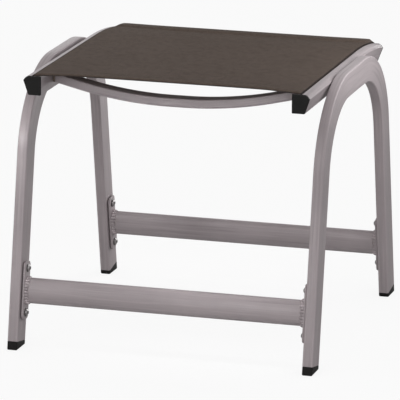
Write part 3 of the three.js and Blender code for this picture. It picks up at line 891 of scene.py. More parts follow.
def stitch_tree():
    """Row of stitches along a path, each an arc of thread that dips into the cloth at its ends."""
    row = Shape("stitches", {"Stitch": 0.003, "Pitch": 0.0038, "Thread": 0.00034, "Seed": 5})
    half, thread = row.given("Stitch") * 0.5, row.given("Thread")
    start, end = (row.joined(X=reach, Z=thread * -1.6) for reach in (half * -1.0, half))
    top = row.joined(Z=thread * 2.4)
    inputs = {"Resolution": 5, "Start": start, "Middle": top, "End": end}
    arc = row.made("GeometryNodeCurveQuadraticBezier", None, inputs)
    inputs = {"Resolution": 6, "Radius": thread}
    ring = row.made("GeometryNodeCurvePrimitiveCircle", {"mode": "RADIUS"}, inputs)
    inputs = {"Curve": arc, "Profile Curve": ring, "Fill Caps": True}
    stitch = row.made("GeometryNodeCurveToMesh", None, inputs)
    points = row.spaced(row.given("Pitch"))
    upright = row.following((0.0, 0.0, 1.0))
    return row.ended(row.repeated(points, stitch, upright, row.uneven(0.92, 1.06)))


def bolt_tree():
    """A bolt head on each point, along the point's axis and turned at random."""
    bolts = Shape("bolt_heads", {"Head": "Object", "Seed": 11})
    points = bolts.made("GeometryNodeMeshToPoints", None, {0: bolts.given("Geometry")})
    kind = {"data_type": "FLOAT_VECTOR"}
    axis = bolts.made("GeometryNodeInputNamedAttribute", kind, {"Name": "axis"})
    faced = bolts.made("FunctionNodeAlignRotationToVector", {"axis": "Z"}, {"Vector": axis})
    inputs = {"Axis": (0.0, 0.0, 1.0), "Angle": bolts.uneven(0.0, math.tau)}
    spin = bolts.made("FunctionNodeAxisAngleToRotation", None, inputs)
    inputs = {"Rotation": faced, "Rotate By": spin}
    turned = bolts.made("FunctionNodeRotateRotation", {"rotation_space": "LOCAL"}, inputs)
    return bolts.ended(bolts.repeated(points, bolts.thing("Head"), turned))


# Shapes shared by the pieces


def rounded_rectangle(width, height, corner, steps=6):
    """Points of a rounded rectangle around the origin, anticlockwise."""
    points = []
    for turn, (sx, sy) in enumerate(((1, -1), (1, 1), (-1, 1), (-1, -1))):
        centre = Vector((sx * (width / 2 - corner), sy * (height / 2 - corner)))
        for i in range(steps + 1):
            a = math.radians(90 * (turn - 1) + 90 * i / steps)
            points.append(centre + corner * Vector((math.cos(a), math.sin(a))))
    return points


def curve_through(start, control, end, steps=5):
    """Points of a quadratic curve, without its start."""
    points = []
    for i in range(1, steps + 1):
        t = i / steps
        points.append(
            tuple(
                (1 - t) ** 2 * a + 2 * t * (1 - t) * b + t * t * c
                for a, b, c in zip(start, control, end)
            )
        )
    return points


def rail_side():
    """The rail's outer contour from its inner bottom corner to the crown's inner end."""
    r = settings("rails")
    slant = (r.width - r.base) / r.ridge
    lip = r.ridge + r.corner
    points = [(r.corner, 0.0), (r.base - r.corner, 0.0)]
    points += curve_through(points[-1], (r.base, 0.0), (r.base + slant * r.corner, r.corner))
    points.append((r.width - slant * r.corner, r.ridge - r.corner))
    points += curve_through(points[-1], (r.width, r.ridge), (r.width - r.corner, lip))
    crown = (r.width - r.shoulder, r.height)
    points += curve_through(points[-1], (r.width - r.shoulder / 2, r.height), crown, 7)
    return points


def rail_inner():
    r = settings("rails")
    points = [(r.corner, r.height)]
    points += curve_through(points[-1], (0.0, r.height), (0.0, r.height - r.corner))
    points.append((0.0, r.corner))
    points += curve_through(points[-1], (0.0, 0.0), (r.corner, 0.0))[:-1]
    return points


def rail_section():
    """Whole section of the rail with its slot."""
    r = settings("rails")
    start = math.acos(r.slot_mouth / r.slot_radius)
    centre = r.height - r.slot_depth
    slot = [(r.slot + r.slot_mouth, r.height)]
    for i in range(17):
        a = start - (2 * start + math.pi) * i / 16
        slot.append((r.slot + r.slot_radius * math.cos(a), centre + r.slot_radius * math.sin(a)))
    slot.append((r.slot - r.slot_mouth, r.height))
    return rail_side() + slot + rail_inner()


def rail_place(along):
    """Origin and up direction of the rail's section at a distance along its path."""
    r = settings("rails")
    base = box("seat_rail_right")[1].z - r.height
    past = max(0.0, along - r.drop_start)
    turn = past / r.drop_radius
    y = min(along, r.drop_start) + r.drop_radius * math.sin(turn)
    z = base - r.drop_radius * (1 - math.cos(turn))
    return Vector((0.0, y, z)), Vector((0.0, math.sin(turn), math.cos(turn)))


def rail_point(along, x, up):
    origin, upward = rail_place(along)
    return origin + upward * up + Vector((x, 0.0, 0.0))


def rail_inner_x():
    return box("seat_rail_right")[0].x


def rail_path(half, up=0.0, x=0.0):
    """Points along the rail from the front to the back."""
    r = settings("rails")
    drop = half - r.drop_start
    stops = [-half, r.drop_start]
    stops += [r.drop_start + drop * (i + 1) / r.drop_steps for i in range(r.drop_steps)]
    return [rail_point(along, x, up) for along in stops]


def leg_axis_y(height):
    """Distance of a leg's axis from the middle of the stool at a height."""
    legs = settings("legs")
    outer = box("foot_cap_rear_right")[1].y + (legs.cap_ease - height) * math.tan(legs.lean)
    return outer - legs.depth / 2 / math.cos(legs.lean)


def leaned(y, z, end):
    """A point in a piece's own upright plane, leaned as the legs lean at that end."""
    lean = settings("legs").lean
    return (
        y * math.cos(lean) - end * z * math.sin(lean),
        end * y * math.sin(lean) + z * math.cos(lean),
    )


def sling_base():
    """Height of the sling's underside over the rail's base."""
    return settings("rails").height + GAP


def rounded_edge(ease, steps):
    """Depth and inset of each ring of a rounded edge, from its face on."""
    turns = [math.pi / 2 * i / steps for i in range(steps + 1)]
    return [(ease * (1 - math.cos(a)), ease * (1 - math.sin(a))) for a in turns]


def stool_corners():
    """Name, end and side of each corner of the stool."""
    for place, end in ENDS.items():
        for side, sign in SIDES.items():
            yield place + "_" + side, end, sign


# Operators


class STOOL_OT_leg_frames(bpy.types.Operator):
    """Bends the two leg frames from flat tube"""

    bl_idname = "stool.leg_frames"
    bl_label = "Leg frames"

    def path(self, x):
        legs = settings("legs")
        turn = math.pi / 2 - legs.lean
        crown = box("leg_frame_right")[1].z - legs.depth / 2
        corner_y = leg_axis_y(crown)
        flat = corner_y - legs.bend * math.tan(turn / 2)
        foot = legs.cap_height
        half = []
        for i in range(legs.bend_steps + 1):
            a = math.pi / 2 - turn * i / legs.bend_steps
            z = crown - legs.bend + legs.bend * math.sin(a)
            half.append((flat + legs.bend * math.cos(a), z))
        half.append((leg_axis_y(foot), foot))
        front = [(-y, z) for y, z in reversed(half)]
        return [Vector((x, y, z)) for y, z in front + half]

    def execute(self, context):
        legs = settings("legs")
        coat = powder_coat()
        tree = flat_tube_tree()
        sizes = {"Width": legs.across, "Depth": legs.depth, "Corner": legs.corner}
        for side in SIDES:
            node = "leg_frame_" + side
            path = self.path(box_middle(node)[0])
            drawn_piece("leg_tube_" + side, node, path, tree, sizes, coat, 30)
        return {"FINISHED"}


class STOOL_OT_foot_caps(bpy.types.Operator):
    """Moulds the four foot caps with an eased sole"""

    bl_idname = "stool.foot_caps"
    bl_label = "Foot caps"

    def ring(self, x, end, inset, height, on_ground):
        """Outline of the cap, at a height on the ground side or along the leg from its end."""
        legs = settings("legs")
        outline = rounded_rectangle(
            legs.across - 2 * inset, legs.depth - 2 * inset, max(0.0008, legs.corner - inset)
        )
        points = []
        for u, v in outline:
            y = leg_axis_y(legs.cap_height) + v * math.cos(legs.lean)
            z = legs.cap_height + v * math.sin(legs.lean)
            slide = (height - z) / math.cos(legs.lean) if on_ground else height
            y -= slide * math.sin(legs.lean)
            z += slide * math.cos(legs.lean)
            points.append(Vector((x + u, end * y, z)))
        return points

    def execute(self, context):
        plastic = black_plastic()
        ease = settings("legs").cap_ease
        top_edge = ((0.0, -0.0009), (0.0004, -0.0003))  # inset, and height along the leg
        for corner, end, _ in stool_corners():
            node = "foot_cap_" + corner
            x = box_middle(node)[0]
            sole = rounded_edge(ease, 4)
            rings = [self.ring(x, end, inset, lift, True) for lift, inset in sole]
            rings += [self.ring(x, end, inset, height, False) for inset, height in top_edge]
            skinned("foot_" + corner, node, rings, plastic, 32)
        return {"FINISHED"}


class STOOL_OT_seat_rails(bpy.types.Operator):
    """Draws the slotted seat rails along their path"""

    bl_idname = "stool.seat_rails"
    bl_label = "Seat rails"

    def execute(self, context):
        rails = settings("rails")
        coat = powder_coat()
        # Points near the rail's two ridges are marked as edges for the coat's painted highlight.
        ridges = (rails.width - rails.shoulder, rails.height), (rails.width, rails.ridge)
        near = [min(math.dist(spot, ridge) for ridge in ridges) for spot in rail_section()]
        edge = [1.0 if gap < rails.corner else 0.0 for gap in near]
        for side, sign in SIDES.items():
            node = "seat_rail_" + side
            outline = [(sign * u, -v, 0.0) for u, v in rail_section()]
            path = rail_path(rails.half, 0.0, sign * rail_inner_x())
            extruded("rail_" + side, node, path, outline, coat, 28, edge)
        return {"FINISHED"}


class STOOL_OT_end_caps(bpy.types.Operator):
    """Moulds the caps on the rails' ends, with an eased face"""

    bl_idname = "stool.end_caps"
    bl_label = "Rail end caps"

    def ring(self, side, end, back, inset):
        """Outline of the cap, so far behind its face and so far inside the rail's contour."""
        rails = settings("rails")
        outer = rails.half + GAP + rails.cap - back
        shift = 0.001
        middle = Vector((rails.width / 2 - shift, rails.height / 2))
        points = []
        for spot in rail_side() + rail_inner():
            u = middle.x + (spot[0] - middle.x) * (1 - inset / (rails.width / 2))
            v = middle.y + (spot[1] - middle.y) * (1 - inset / (rails.height / 2))
            points.append(rail_point(end * outer, side * (rail_inner_x() + u), v))
        return points

    def execute(self, context):
        rails = settings("rails")
        plastic = black_plastic()
        ease = rails.cap_ease
        for corner, end, sign in stool_corners():
            edge = [(0.0, ease * 2.0), *rounded_edge(ease, 5)[1:], (rails.cap, 0.0)]
            rings = [self.ring(sign, end, back, inset) for back, inset in edge]
            node = "rail_end_cap_" + corner
            skinned("rail_cap_" + corner, node, rings, plastic, 35)
        return {"FINISHED"}


class STOOL_OT_spreaders(bpy.types.Operator):
    """Bows the two spreader bars and moulds their plugs"""

    bl_idname = "stool.spreaders"
    bl_label = "Spreader bars"

    def rise(self, x):
        """Height of the bar's centre line over its middle."""
        b = settings("braces")
        bend = b.spreader_bend - b.spreader_flat
        into = min(1.0, max(0.0, (x - b.spreader_flat) / bend))
        straight = b.spreader_slope * max(0.0, x - b.spreader_bend)
        return b.spreader_slope * bend * into * into / 2 + straight

    def plug(self, node, side, y, z, coat):
        """Flange with eased edges that goes on with the bar's slope, and the spigot in the rail."""
        b = settings("braces")
        low, high = box(node)
        flange, spigot = 0.0038, 0.0035  # the flange's width and the spigot's radius
        outer = rail_inner_x() - GAP
        inner = outer - flange
        stretch = math.hypot(1, b.spreader_slope)
        rings = []
        for x, inset in (
            (inner, 0.0006), (inner + 0.0003, 0.0002), (inner + 0.0008, 0.0),
            (outer - 0.0008, 0.0), (outer - 0.0003, 0.0002), (outer, 0.0007),
        ):
            depth, height = b.spreader_depth - 2 * inset, b.spreader_height - 2 * inset
            outline = rounded_rectangle(depth, height, b.spreader_corner - inset)
            here = z - b.spreader_slope * (rail_inner_x() - x)
            rings.append([Vector((side * x, y + u, here + v * stretch)) for u, v in outline])
        size = len(rings[0])
        turns = [math.tau * (i - 3) / size - math.pi / 4 for i in range(size)]
        circle = [(y + spigot * math.cos(a), z + spigot * math.sin(a)) for a in turns]
        for x in (outer, high.x if side > 0 else -low.x):
            rings.append([Vector((side * x, *spot)) for spot in circle])
        name = node.replace("spreader_plug", "bar_plug")
        skinned(name, node, rings, coat, 35)

    def execute(self, context):
        b = settings("braces")
        coat = powder_coat()
        plastic = plug_plastic()
        tree = bowed_bar_tree()
        stretch = math.hypot(1, b.spreader_slope)
        inputs = {
            "Depth": b.spreader_depth,
            "Height": b.spreader_height,
            "Corner": b.spreader_corner,
            "Flat half": b.spreader_flat,
            "Bend end": b.spreader_bend,
            "Slope": b.spreader_slope,
        }
        for place in ENDS:
            node = "spreader_bar_" + place
            low, high = box(node)
            y = box_middle(node)[1]
            top = box("spreader_plug_%s_right" % place)[1].z + b.spreader_slope * GAP
            end_z = top - b.spreader_height / 2 * stretch
            inputs["Middle height"] = end_z - self.rise(rail_inner_x())
            line = [(x, y, 0.0) for x in (low.x, high.x)]
            drawn_piece("bar_" + place, node, line, tree, inputs, coat, 30)
            for side, sign in SIDES.items():
                self.plug("spreader_plug_%s_%s" % (place, side), sign, y, end_z, plastic)
        return {"FINISHED"}


class STOOL_OT_stretchers(bpy.types.Operator):
    """Builds the oval stretchers, their end plates and the weld beads"""

    bl_idname = "stool.stretchers"
    bl_label = "Stretchers"

    def oval(self, end, steps=64):
        """Leaned outline of the stretcher around its axis, as y and z."""
        b = settings("braces")
        points = []
        for i in range(steps):
            a = math.tau * i / steps
            across, up = b.stretcher_depth / 2 * math.cos(a), b.stretcher_height / 2 * math.sin(a)
            points.append(leaned(across, up, end))
        return points

    def plate(self, node, side, end, y, z, coat):
        """End plate with rounded corners and eased edges."""
        b = settings("braces")
        low, high = box(node)
        inner, outer = (low.x, high.x) if side > 0 else (-high.x, -low.x)
        rings = []
        for x, inset in (
            (inner, 0.0007), (inner + 0.0002, 0.00025), (inner + 0.0007, 0.0),
            (outer - 0.0007, 0.0), (outer - 0.0002, 0.00025), (outer, 0.0007),
        ):
            width, height = b.plate_width - 2 * inset, b.plate_height - 2 * inset
            outline = rounded_rectangle(width, height, b.plate_corner - inset, 8)
            spots = [leaned(u, v, end) for u, v in outline]
            rings.append([Vector((side * x, y + dy, z + dz)) for dy, dz in spots])
        name = node.replace("stretcher_plate", "end_plate")
        skinned(name, node, rings, coat, 35)

    def weld(self, corner, end, side, loop, tree, bead):
        """Weld bead around the tube's end, flush with the plate."""
        b = settings("braces")
        face = min(abs(spot.x) for spot in box("stretcher_plate_" + corner)) + GAP
        inputs = {"Leg": b.weld, "Reach": b.weld_reach, "Ripple": b.ripple, "Plate face": face}
        inputs.update({"Seed": 3 + end * 2 + side, "Material": bead})
        mesh = grown("weld_path", wire("weld_path", loop, closed=True), tree, inputs)
        finished("weld_" + corner, mesh, bead, crease=60)

    def execute(self, context):
        coat, flat_coat = powder_coat(), powder_coat("plate_coat", drawn=False)
        bead = weld_metal(box_middle("stretcher_front")[2])
        welds = weld_tree()
        for place, end in ENDS.items():
            node = "stretcher_" + place
            low, high = box(node)
            _, y, z = box_middle(node)
            outline = [(-dy, -dz, 0.0) for dy, dz in self.oval(end)]
            path = [(x, y, z) for x in (low.x, high.x)]
            extruded("oval_tube_" + place, node, path, outline, coat, 30)
            for side, sign in SIDES.items():
                corner = place + "_" + side
                self.plate("stretcher_plate_" + corner, sign, end, y, z, flat_coat)
                loop = [Vector((sign * high.x, y + dy, z + dz)) for dy, dz in self.oval(end, 96)]
                self.weld(corner, end, sign, loop, welds, bead)
        return {"FINISHED"}


class STOOL_OT_bolts(bpy.types.Operator):
    """Sets a flanged button head with a six-sided socket on each bolt"""

    bl_idname = "stool.bolts"
    bl_label = "Bolts"

    segments = 48

    def ring(self, radius, height, flats=False):
        """Ring of points at a height, round or with the six flats of a socket."""
        points = []
        for i in range(self.segments):
            a = math.tau * i / self.segments
            reach = radius / math.cos(a % (math.pi / 3) - math.pi / 6) if flats else radius
            points.append(Vector((reach * math.cos(a), reach * math.sin(a), height)))
        return points

    def head(self):
        """Head with its seat at the origin and its socket facing +Z."""
        b = settings("braces")
        rise = b.head - 0.001
        # Distance from the axis and height of each ring: the flange, the dome and the socket
        turned = [
            (0.003, -0.0004), (b.flange - 0.0002, 0.0), (b.flange, 0.0002), (b.flange, 0.0006),
            (b.flange - 0.0003, 0.0009), (b.dome + 0.0002, 0.00105),
        ]
        for i in range(7):
            a = math.pi / 2 * i / 6 * 0.86
            height = 0.0012 + (rise - 0.0002) * math.sin(a) / math.sin(1.35)
            turned.append((b.dome * math.cos(a), height))
        top = turned[-1][1]
        turned.append((0.00262, top + 0.00012))
        rings = [self.ring(radius, height) for radius, height in turned]
        flats = b.socket / 2
        for grow, height in ((0.00018, top + 0.00010), (0.0, top - 0.00012), (0.0, top - 0.0021)):
            rings.append(self.ring(flats + grow, height, True))
        rings.append(self.ring(0.0005, top - 0.0028))
        mesh = outward(loft("bolt_head", rings))
        last = len(rings)
        # Painted shade on the flange ring and inside the socket.
        marks = [1.0 if i < 6 or i > last - 4 else 0.0 for i in range(last)]
        dull = [mark for mark in marks for _ in range(self.segments)]
        mesh.attributes.new("dull", "FLOAT", "POINT").data.foreach_set("value", dull)
        return mesh

    def seats(self, names, side):
        """A point under each bolt's head, with the direction in which the head faces."""
        spots = []
        for name in names:
            low, high = box(name)
            face = low.x if side > 0 else high.x
            seat = face + side * settings("braces").head
            spots.append((seat, *box_middle(name)[1:]))
        mesh = bpy.data.meshes.new("bolt_seats")
        mesh.from_pydata(spots, [], [])
        axis = mesh.attributes.new("axis", "FLOAT_VECTOR", "POINT")
        axis.data.foreach_set("vector", [-side, 0.0, 0.0] * len(spots))
        return mesh

    def execute(self, context):
        steel = bolt_steel()
        tree = bolt_tree()
        head = linked("bolt_head", smoothed(self.head(), 35))
        for place, end in ENDS.items():
            for side, sign in SIDES.items():
                pattern = "stretcher_bolt_%s_%s_%s"
                names = [pattern % (place, level, side) for level in ("upper", "lower")]
                names.append("rail_bolt_%s_%s" % (place, side))
                inputs = {"Head": head, "Seed": 11 + 3 * end + sign, "Material": steel}
                mesh = grown("bolt_seats", self.seats(names, sign), tree, inputs)
                name = "bolts_%s_%s" % (place, side)
                finished(name, mesh, steel, names, 35)
        discard("bolt_head")
        return {"FINISHED"}


class STOOL_OT_sling(bpy.types.Operator):
    """Stretches the sling between the slots, folds its hems and sews them"""

    bl_idname = "stool.sling"
    bl_label = "Sling"

    bow_table = (
        (0.0, 1.0), (0.3, 1.0), (0.6, 0.97), (0.79, 0.85), (0.875, 0.5), (0.93, 0.25), (1.0, 0.0),
    )

    def bow(self, x):
        """How far the free edge is drawn in at x, softened between the table's rows."""
        total = 0.0
        where = min(1.0, abs(x) / rail_inner_x())
        for shift in (-0.03, -0.015, 0.0, 0.015, 0.03):
            at = min(1.0, max(0.0, where + shift))
            for (x0, b0), (x1, b1) in zip(self.bow_table, self.bow_table[1:]):
                if x0 <= at <= x1:
                    total += b0 + (b1 - b0) * (at - x0) / (x1 - x0)
                    break
        ends = min(1.0, (1.0 - where) / 0.03)
        return settings("sling").bow * total / 5 * ends

    def crosswise(self):
        """Half profile across the stool: x, height over the rail's base, distance on the cloth."""
        rails, cloth = settings("rails"), settings("sling")
        pocket_gap, turn = 0.0004, 0.0011
        level = sling_base() + cloth.thickness / 2
        slot_x = rail_inner_x() + rails.slot
        radius = ROD_RADIUS + pocket_gap + cloth.thickness / 2
        centre = rails.height - rails.slot_depth
        points = [(0.0, level)]
        flat = slot_x - turn
        points += [(flat * (i + 1) / cloth.across_steps, level) for i in range(cloth.across_steps)]
        for i in range(1, 5):
            a = math.pi / 2 * (1 - i / 4)
            points.append((flat + turn * math.cos(a), level - turn + turn * math.sin(a)))
        wrap, steps = 342, 18  # degrees of cloth around the rod
        for i in range(steps + 1):
            a = math.radians(90 - wrap * i / steps)
            points.append((slot_x + radius * math.cos(a), centre + radius * math.sin(a)))
        return self.measured(points)

    def lengthwise(self):
        """Profile along the stool: place along the rail, rise, and distance on the cloth."""
        cloth = settings("sling")
        rise = cloth.hem_rise
        radius = rise / 2
        edge = cloth.half - cloth.thickness / 2 - radius
        hem_end = cloth.half - cloth.hem
        half = [(hem_end + 0.0015, 0.0), (hem_end + 0.009, 0.0), (edge, 0.0)]
        for i in range(1, 9):
            a = math.pi / 2 * (i / 4 - 1)
            half.append((edge + radius * math.cos(a), radius + radius * math.sin(a)))
        half += [(edge - back, rise) for back in (0.004, 0.009, 0.015)]
        for i in range(7):
            t = i / 6
            half.append((hem_end - cloth.hem_taper * t, rise * (1 - t * t * (3 - 2 * t))))
        start = hem_end - cloth.hem_taper
        steps = cloth.along_steps
        middle = [(start - 2 * start * i / steps, 0.0) for i in range(1, steps)]
        front = [(-along, up) for along, up in reversed(half)]
        return self.measured(half + middle + front)

    def measured(self, points):
        """Points of a profile with their distance along it."""
        total, rows, last = 0.0, [], points[0]
        for point in points:
            total += math.dist(point, last)
            rows.append((*point, total))
            last = point
        return rows

    def cloth_point(self, x, up, along, lift):
        """A point of the sling. The hems follow the drawn-in edge, which the rails hold out."""
        cloth = settings("sling")
        edge = cloth.half - cloth.hem - cloth.hem_taper
        if abs(along) > edge:
            drawn = along - math.copysign(self.bow(x), along)
        else:
            drawn = along * (1 - self.bow(x) / edge)
        mouth = settings("rails").slot + rail_inner_x() - 0.001
        sinking, fold_gap = 0.0065, 0.00015
        reach = min(1.0, max(0.0, (mouth - abs(x)) / sinking))
        if up <= sling_base():
            apart = fold_gap * lift / cloth.hem_rise
            x, up, reach = x - math.copysign(apart, x), up - apart, 0.0
        start = cloth.half - cloth.hem - 2 * cloth.hem_taper
        curl = min(1.0, max(0.0, (along - start) / (cloth.half - start)))
        lift += cloth.rear_curl * curl * curl * (3 - 2 * curl)
        return rail_point(drawn, x, up + lift * reach)

    def flat_sheet(self, across, along):
        """The sling without thickness. Its UV map holds the place of each point on the cloth."""
        points, flats = [], []
        for place, lift, run in along:
            for x, up, out in across:
                points.append(tuple(self.cloth_point(x, up, place, lift)))
                flats.append((out, run))
        columns = len(across)
        faces = []
        for i in range(len(along) - 1):
            for k in range(columns - 1):
                a = i * columns + k
                faces.append((a, a + columns, a + columns + 1, a + 1))
        mesh = bpy.data.meshes.new("sling")
        mesh.from_pydata(points, [], faces)
        layer = mesh.uv_layers.new(name="UVMap")
        for loop in mesh.loops:
            layer.data[loop.index].uv = flats[loop.vertex_index]
        return mesh

    def execute(self, context):
        half = self.crosswise()
        across = [(-x, up, -run) for x, up, run in reversed(half[1:])] + half
        along = self.lengthwise()
        sheet = linked("sling_sheet", self.flat_sheet(across, along))
        thick = sheet.modifiers.new("Thickness", "SOLIDIFY")
        thick.thickness = settings("sling").thickness
        thick.offset = 0.0
        woven = sling_mesh()
        mesh = evaluated(sheet)
        sheet = finished("sling_sheet", mesh, woven, ["sling_panel"], 50)
        seams = self.seams()
        self.rods()
        2 * half[-1][2]
        return {"FINISHED"}

    def sewn(self, name, inputs, reach, up, along, lift):
        """A row of stitches across the sling, up to so far from the middle."""
        steps = 160
        line = []
        for i in range(steps + 1):
            line.append(self.cloth_point(-reach + 2 * reach * i / steps, up, along, lift))
        mesh = grown("seam_path", wire("seam_path", line), stitch_tree(), inputs)
        return finished(name, mesh, inputs["Material"], crease=60)

    def seams(self):
        """Two rows of stitches on each hem, and short ones over its fold, near-black as painted
        shade.
        """
        cloth = settings("sling")
        on_hem = {
            "Stitch": cloth.stitch,
            "Pitch": cloth.stitch_pitch,
            "Thread": cloth.thread,
            "Material": sewing_thread("sewing_thread", tuple(cloth.seam)),
        }
        on_fold = {
            "Stitch": cloth.edge_stitch,
            "Pitch": cloth.edge_pitch,
            "Thread": cloth.edge_thread,
            # Painted shade: the fold's stitches are near-black.
            "Material": sewing_thread("edge_thread", tuple(cloth.edge_seam)),
        }
        insets = {"inner": cloth.seam_inset, "outer": cloth.seam_inset + cloth.seam_gap}
        middle = sling_base() + cloth.thickness / 2
        top = sling_base() + cloth.thickness
        rise, reach = cloth.hem_rise, rail_inner_x()
        seam_end, fold_end = 0.004, 0.002  # where the rows stop short of the rails
        fold_depth, fold_share = 0.0002, 0.35  # where the fold's stitches lie
        pieces = []
        for place, end in ENDS.items():
            for row, inset in insets.items():
                name = "seam_%s_%s" % (place, row)
                along = end * (cloth.half - cloth.hem + inset)
                inputs = {**on_hem, "Seed": 5 + end}
                pieces.append(self.sewn(name, inputs, reach - seam_end, top, along, rise))
            name = "edge_stitches_" + place
            along = end * (cloth.half - fold_depth)
            inputs = {**on_fold, "Seed": 9 + end}
            low = rise * fold_share
            pieces.append(self.sewn(name, inputs, reach - fold_end, middle, along, low))
        return pieces

    def rods(self):
        """Round edge rods in the sling's pockets."""
        rails = settings("rails")
        plastic = rod_plastic()
        centre = rails.height - rails.slot_depth
        steps = 16
        turns = [math.tau * i / steps for i in range(steps)]
        ring = [(ROD_RADIUS * math.cos(a), ROD_RADIUS * math.sin(a), 0.0) for a in turns]
        for side, sign in SIDES.items():
            x = sign * (rail_inner_x() + rails.slot)
            path = rail_path(settings("sling").half, centre, x)
            extruded("edge_rod_" + side, "sling_rod_" + side, path, ring, plastic)


class STOOL_OT_small_parts(bpy.types.Operator):
    """Finishes the saddles under the rails and the rivet nuts"""

    bl_idname = "stool.small_parts"
    bl_label = "Saddles and rivet nuts"

    def saddle(self, node, side, plastic):
        """Wedge with eased edges between the rail and the arch."""
        rails = settings("rails")
        low, high = box(node)
        slant = (rails.width - rails.base) / rails.ridge
        base = box("seat_rail_right")[1].z - rails.height
        clear, ease = 0.00032, 0.0004
        inner = rail_inner_x() + rails.base + clear
        outer = high.x if side > 0 else -low.x
        corners = [
            (inner + slant * (low.z - base), low.z), (outer, low.z),
            (outer, high.z), (inner + slant * (high.z - base), high.z),
        ]
        rings = [[Vector((side * x, y, z)) for x, z in corners] for y in (low.y, high.y)]
        piece = linked(node.replace("rail_saddle", "wedge"), outward(loft(node, rings)))
        bevel = piece.modifiers.new("Edges", "BEVEL")
        bevel.width = ease
        bevel.segments = 3
        finished(piece.name, evaluated(piece), plastic, [node], 30)

    def execute(self, context):
        plastic = black_plastic()
        zinc = zinc_steel()
        for corner, _, sign in stool_corners():
            self.saddle("rail_saddle_" + corner, sign, plastic)
        for name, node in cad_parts.items():
            if "rivet_nut" in name:
                node.data.materials.clear()
                node.data.materials.append(zinc)
        return {"FINISHED"}


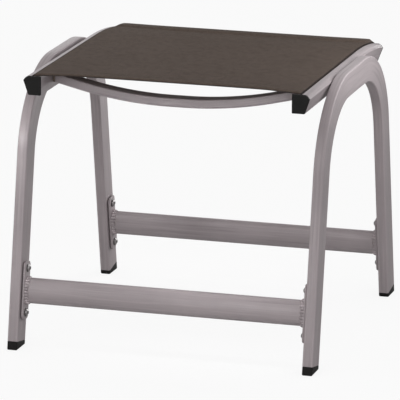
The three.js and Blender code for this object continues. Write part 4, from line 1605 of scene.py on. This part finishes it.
class STOOL_OT_stage(bpy.types.Operator):
    """Sets the floor, the soft studio light and the camera"""

    bl_idname = "stool.stage"
    bl_label = "Stage"

    # Name and setting, place, target, width and height, and spread in degrees
    panels = (
        ("arch_panel", (0.37, 0.03, 0.47), (0.24, 0.03, 0.40), (0.28, 0.12), 180),
        ("leg_panel", (-0.46, -0.80, 0.40), (-0.235, -0.21, 0.19), (0.08, 0.30), 40),
        ("bend_panel", (-0.333, -0.452, 0.435), (-0.238, -0.193, 0.317), (0.04, 0.03), 34),
        ("inner_panel", (0.215, 0.85, 0.34), (-0.22, 0.0, 0.18), (0.14, 0.26), 60),
        ("low_panel", (0.0, -0.70, 0.20), (0.11, -0.22, 0.10), (0.20, 0.05), 36),
        ("bar_panel", (-0.20, -0.95, 0.19), (0.05, -0.16, 0.385), (0.30, 0.05), 26),
        ("rear_panel", (-0.41, 0.56, 0.545), (-0.21, 0.03, 0.42), (0.30, 0.10), 50),
        ("top_panel", (0.06, -0.262, 0.355), (0.06, -0.228, 0.10), (0.34, 0.015), 50),
        ("front_panel", (0.4, -3.0, 1.2), (0.0, 0.0, 0.2), (1.6, 1.2), 180),
    )

    def floor_finish(self):
        """Pale floor: white to the camera, with a share of its shading for a soft shadow."""
        floor = Surface(bpy.data.materials, "stage_floor")
        seen = floor.made("ShaderNodeLightPath", key="Is Camera Ray")
        pale = floor.mix(seen, (0.5, 0.5, 0.5), (0.95, 0.95, 0.95))
        matt = floor.made("ShaderNodeBsdfDiffuse", None, {"Color": pale})
        sockets = {"Color": (1.0, 1.0, 1.0), "Strength": 1.0}
        white = floor.made("ShaderNodeEmission", None, sockets)
        sockets = {0: seen * settings("stage").white, 1: matt, 2: white}
        return floor.show(floor.made("ShaderNodeMixShader", None, sockets))

    def world(self):
        """White to the camera, and the even light on everything else."""
        world = Surface(bpy.data.worlds, "stage_world")
        even = settings("stage").ambient
        strength = world.made("ShaderNodeLightPath", key="Is Camera Ray") * (1.0 - even) + even
        sockets = {"Color": (1.0, 1.0, 1.0), "Strength": strength}
        back = world.made("ShaderNodeBackground", None, sockets)
        bpy.context.scene.world = world.show(back, "World")

    def aimed(self, name, light, place, target):
        obj = linked(name, light)
        obj.location = place
        obj.rotation_euler = (Vector(target) - Vector(place)).to_track_quat("-Z", "Y").to_euler()
        obj.visible_camera = False

    def broad(self, name, place, energy):
        """Broad light that reaches the whole floor evenly."""
        light = bpy.data.lights.new(name, "SUN")
        light.energy = energy
        light.angle = settings("stage").spread
        self.aimed(name, light, place, (0.0, 0.0, 0.0))

    def panel(self, name, place, target, size, energy, spread):
        """Soft rectangular light. A small spread keeps it to what it is aimed at."""
        light = bpy.data.lights.new(name, "AREA")
        light.shape = "RECTANGLE"
        light.size, light.size_y = size
        light.energy = energy
        light.spread = math.radians(spread)
        self.aimed(name, light, place, target)

    def camera(self):
        stage = settings("stage")
        discard("camera")
        lens = bpy.data.cameras.new("camera")
        lens.sensor_width = 36.0
        lens.lens = stage.lens
        lens.clip_end = 100.0
        obj = linked("camera", lens)
        look = Vector(stage.towards).normalized()
        turned = look.to_track_quat("-Z", "Y").to_matrix() @ Matrix.Rotation(stage.roll, 3, "Z")
        obj.location = stage.place
        obj.rotation_euler = turned.to_euler()
        bpy.context.scene.camera = obj

    def execute(self, context):
        size, drop = 30.0, 0.0004
        mesh = bpy.data.meshes.new("stage_floor")
        corners = [(-size, -size, 0.0), (size, -size, 0.0), (size, size, 0.0), (-size, size, 0.0)]
        mesh.from_pydata(corners, [], [(0, 1, 2, 3)])
        floor = linked("stage_floor", mesh)
        floor.location.z = -drop
        mesh.materials.append(self.floor_finish())
        self.world()
        stage = settings("stage")
        self.broad("backdrop_light", (0.25, 1.8, 1.4), stage.backdrop)
        for name, place, target, shape, spread in self.panels:
            self.panel(name, place, target, shape, getattr(stage, name), spread)
        self.camera()
        bpy.context.scene.view_settings.view_transform = "Standard"
        return {"FINISHED"}


class STOOL_PT_pieces(bpy.types.Panel):
    """Lists the stool's pieces in the sidebar"""

    bl_idname = "STOOL_PT_pieces"
    bl_label = "Outdoor footstool"
    bl_space_type = "VIEW_3D"
    bl_region_type = "UI"
    bl_category = "Footstool"

    def draw(self, context):
        for operator in OPERATORS:
            self.layout.operator(operator.bl_idname)


SETTINGS = {
    "legs": LegSettings,
    "rails": RailSettings,
    "sling": SlingSettings,
    "braces": BraceSettings,
    "stage": StageSettings,
}
OPERATORS = (
    STOOL_OT_leg_frames,
    STOOL_OT_foot_caps,
    STOOL_OT_seat_rails,
    STOOL_OT_end_caps,
    STOOL_OT_spreaders,
    STOOL_OT_stretchers,
    STOOL_OT_bolts,
    STOOL_OT_sling,
    STOOL_OT_small_parts,
    STOOL_OT_stage,
)


def register():
    for key, group in SETTINGS.items():
        bpy.utils.register_class(group)
        setattr(bpy.types.Scene, "stool_" + key, PointerProperty(type=group))
    for item in (*OPERATORS, STOOL_PT_pieces):
        bpy.utils.register_class(item)


def unregister():
    for item in (STOOL_PT_pieces, *reversed(OPERATORS)):
        bpy.utils.unregister_class(item)
    for key, group in SETTINGS.items():
        delattr(bpy.types.Scene, "stool_" + key)
        bpy.utils.unregister_class(group)


def main():
    register()
    for operator in OPERATORS:
        group, name = operator.bl_idname.split(".")
        getattr(getattr(bpy.ops, group), name)()


if __name__ == "__main__":
    main()
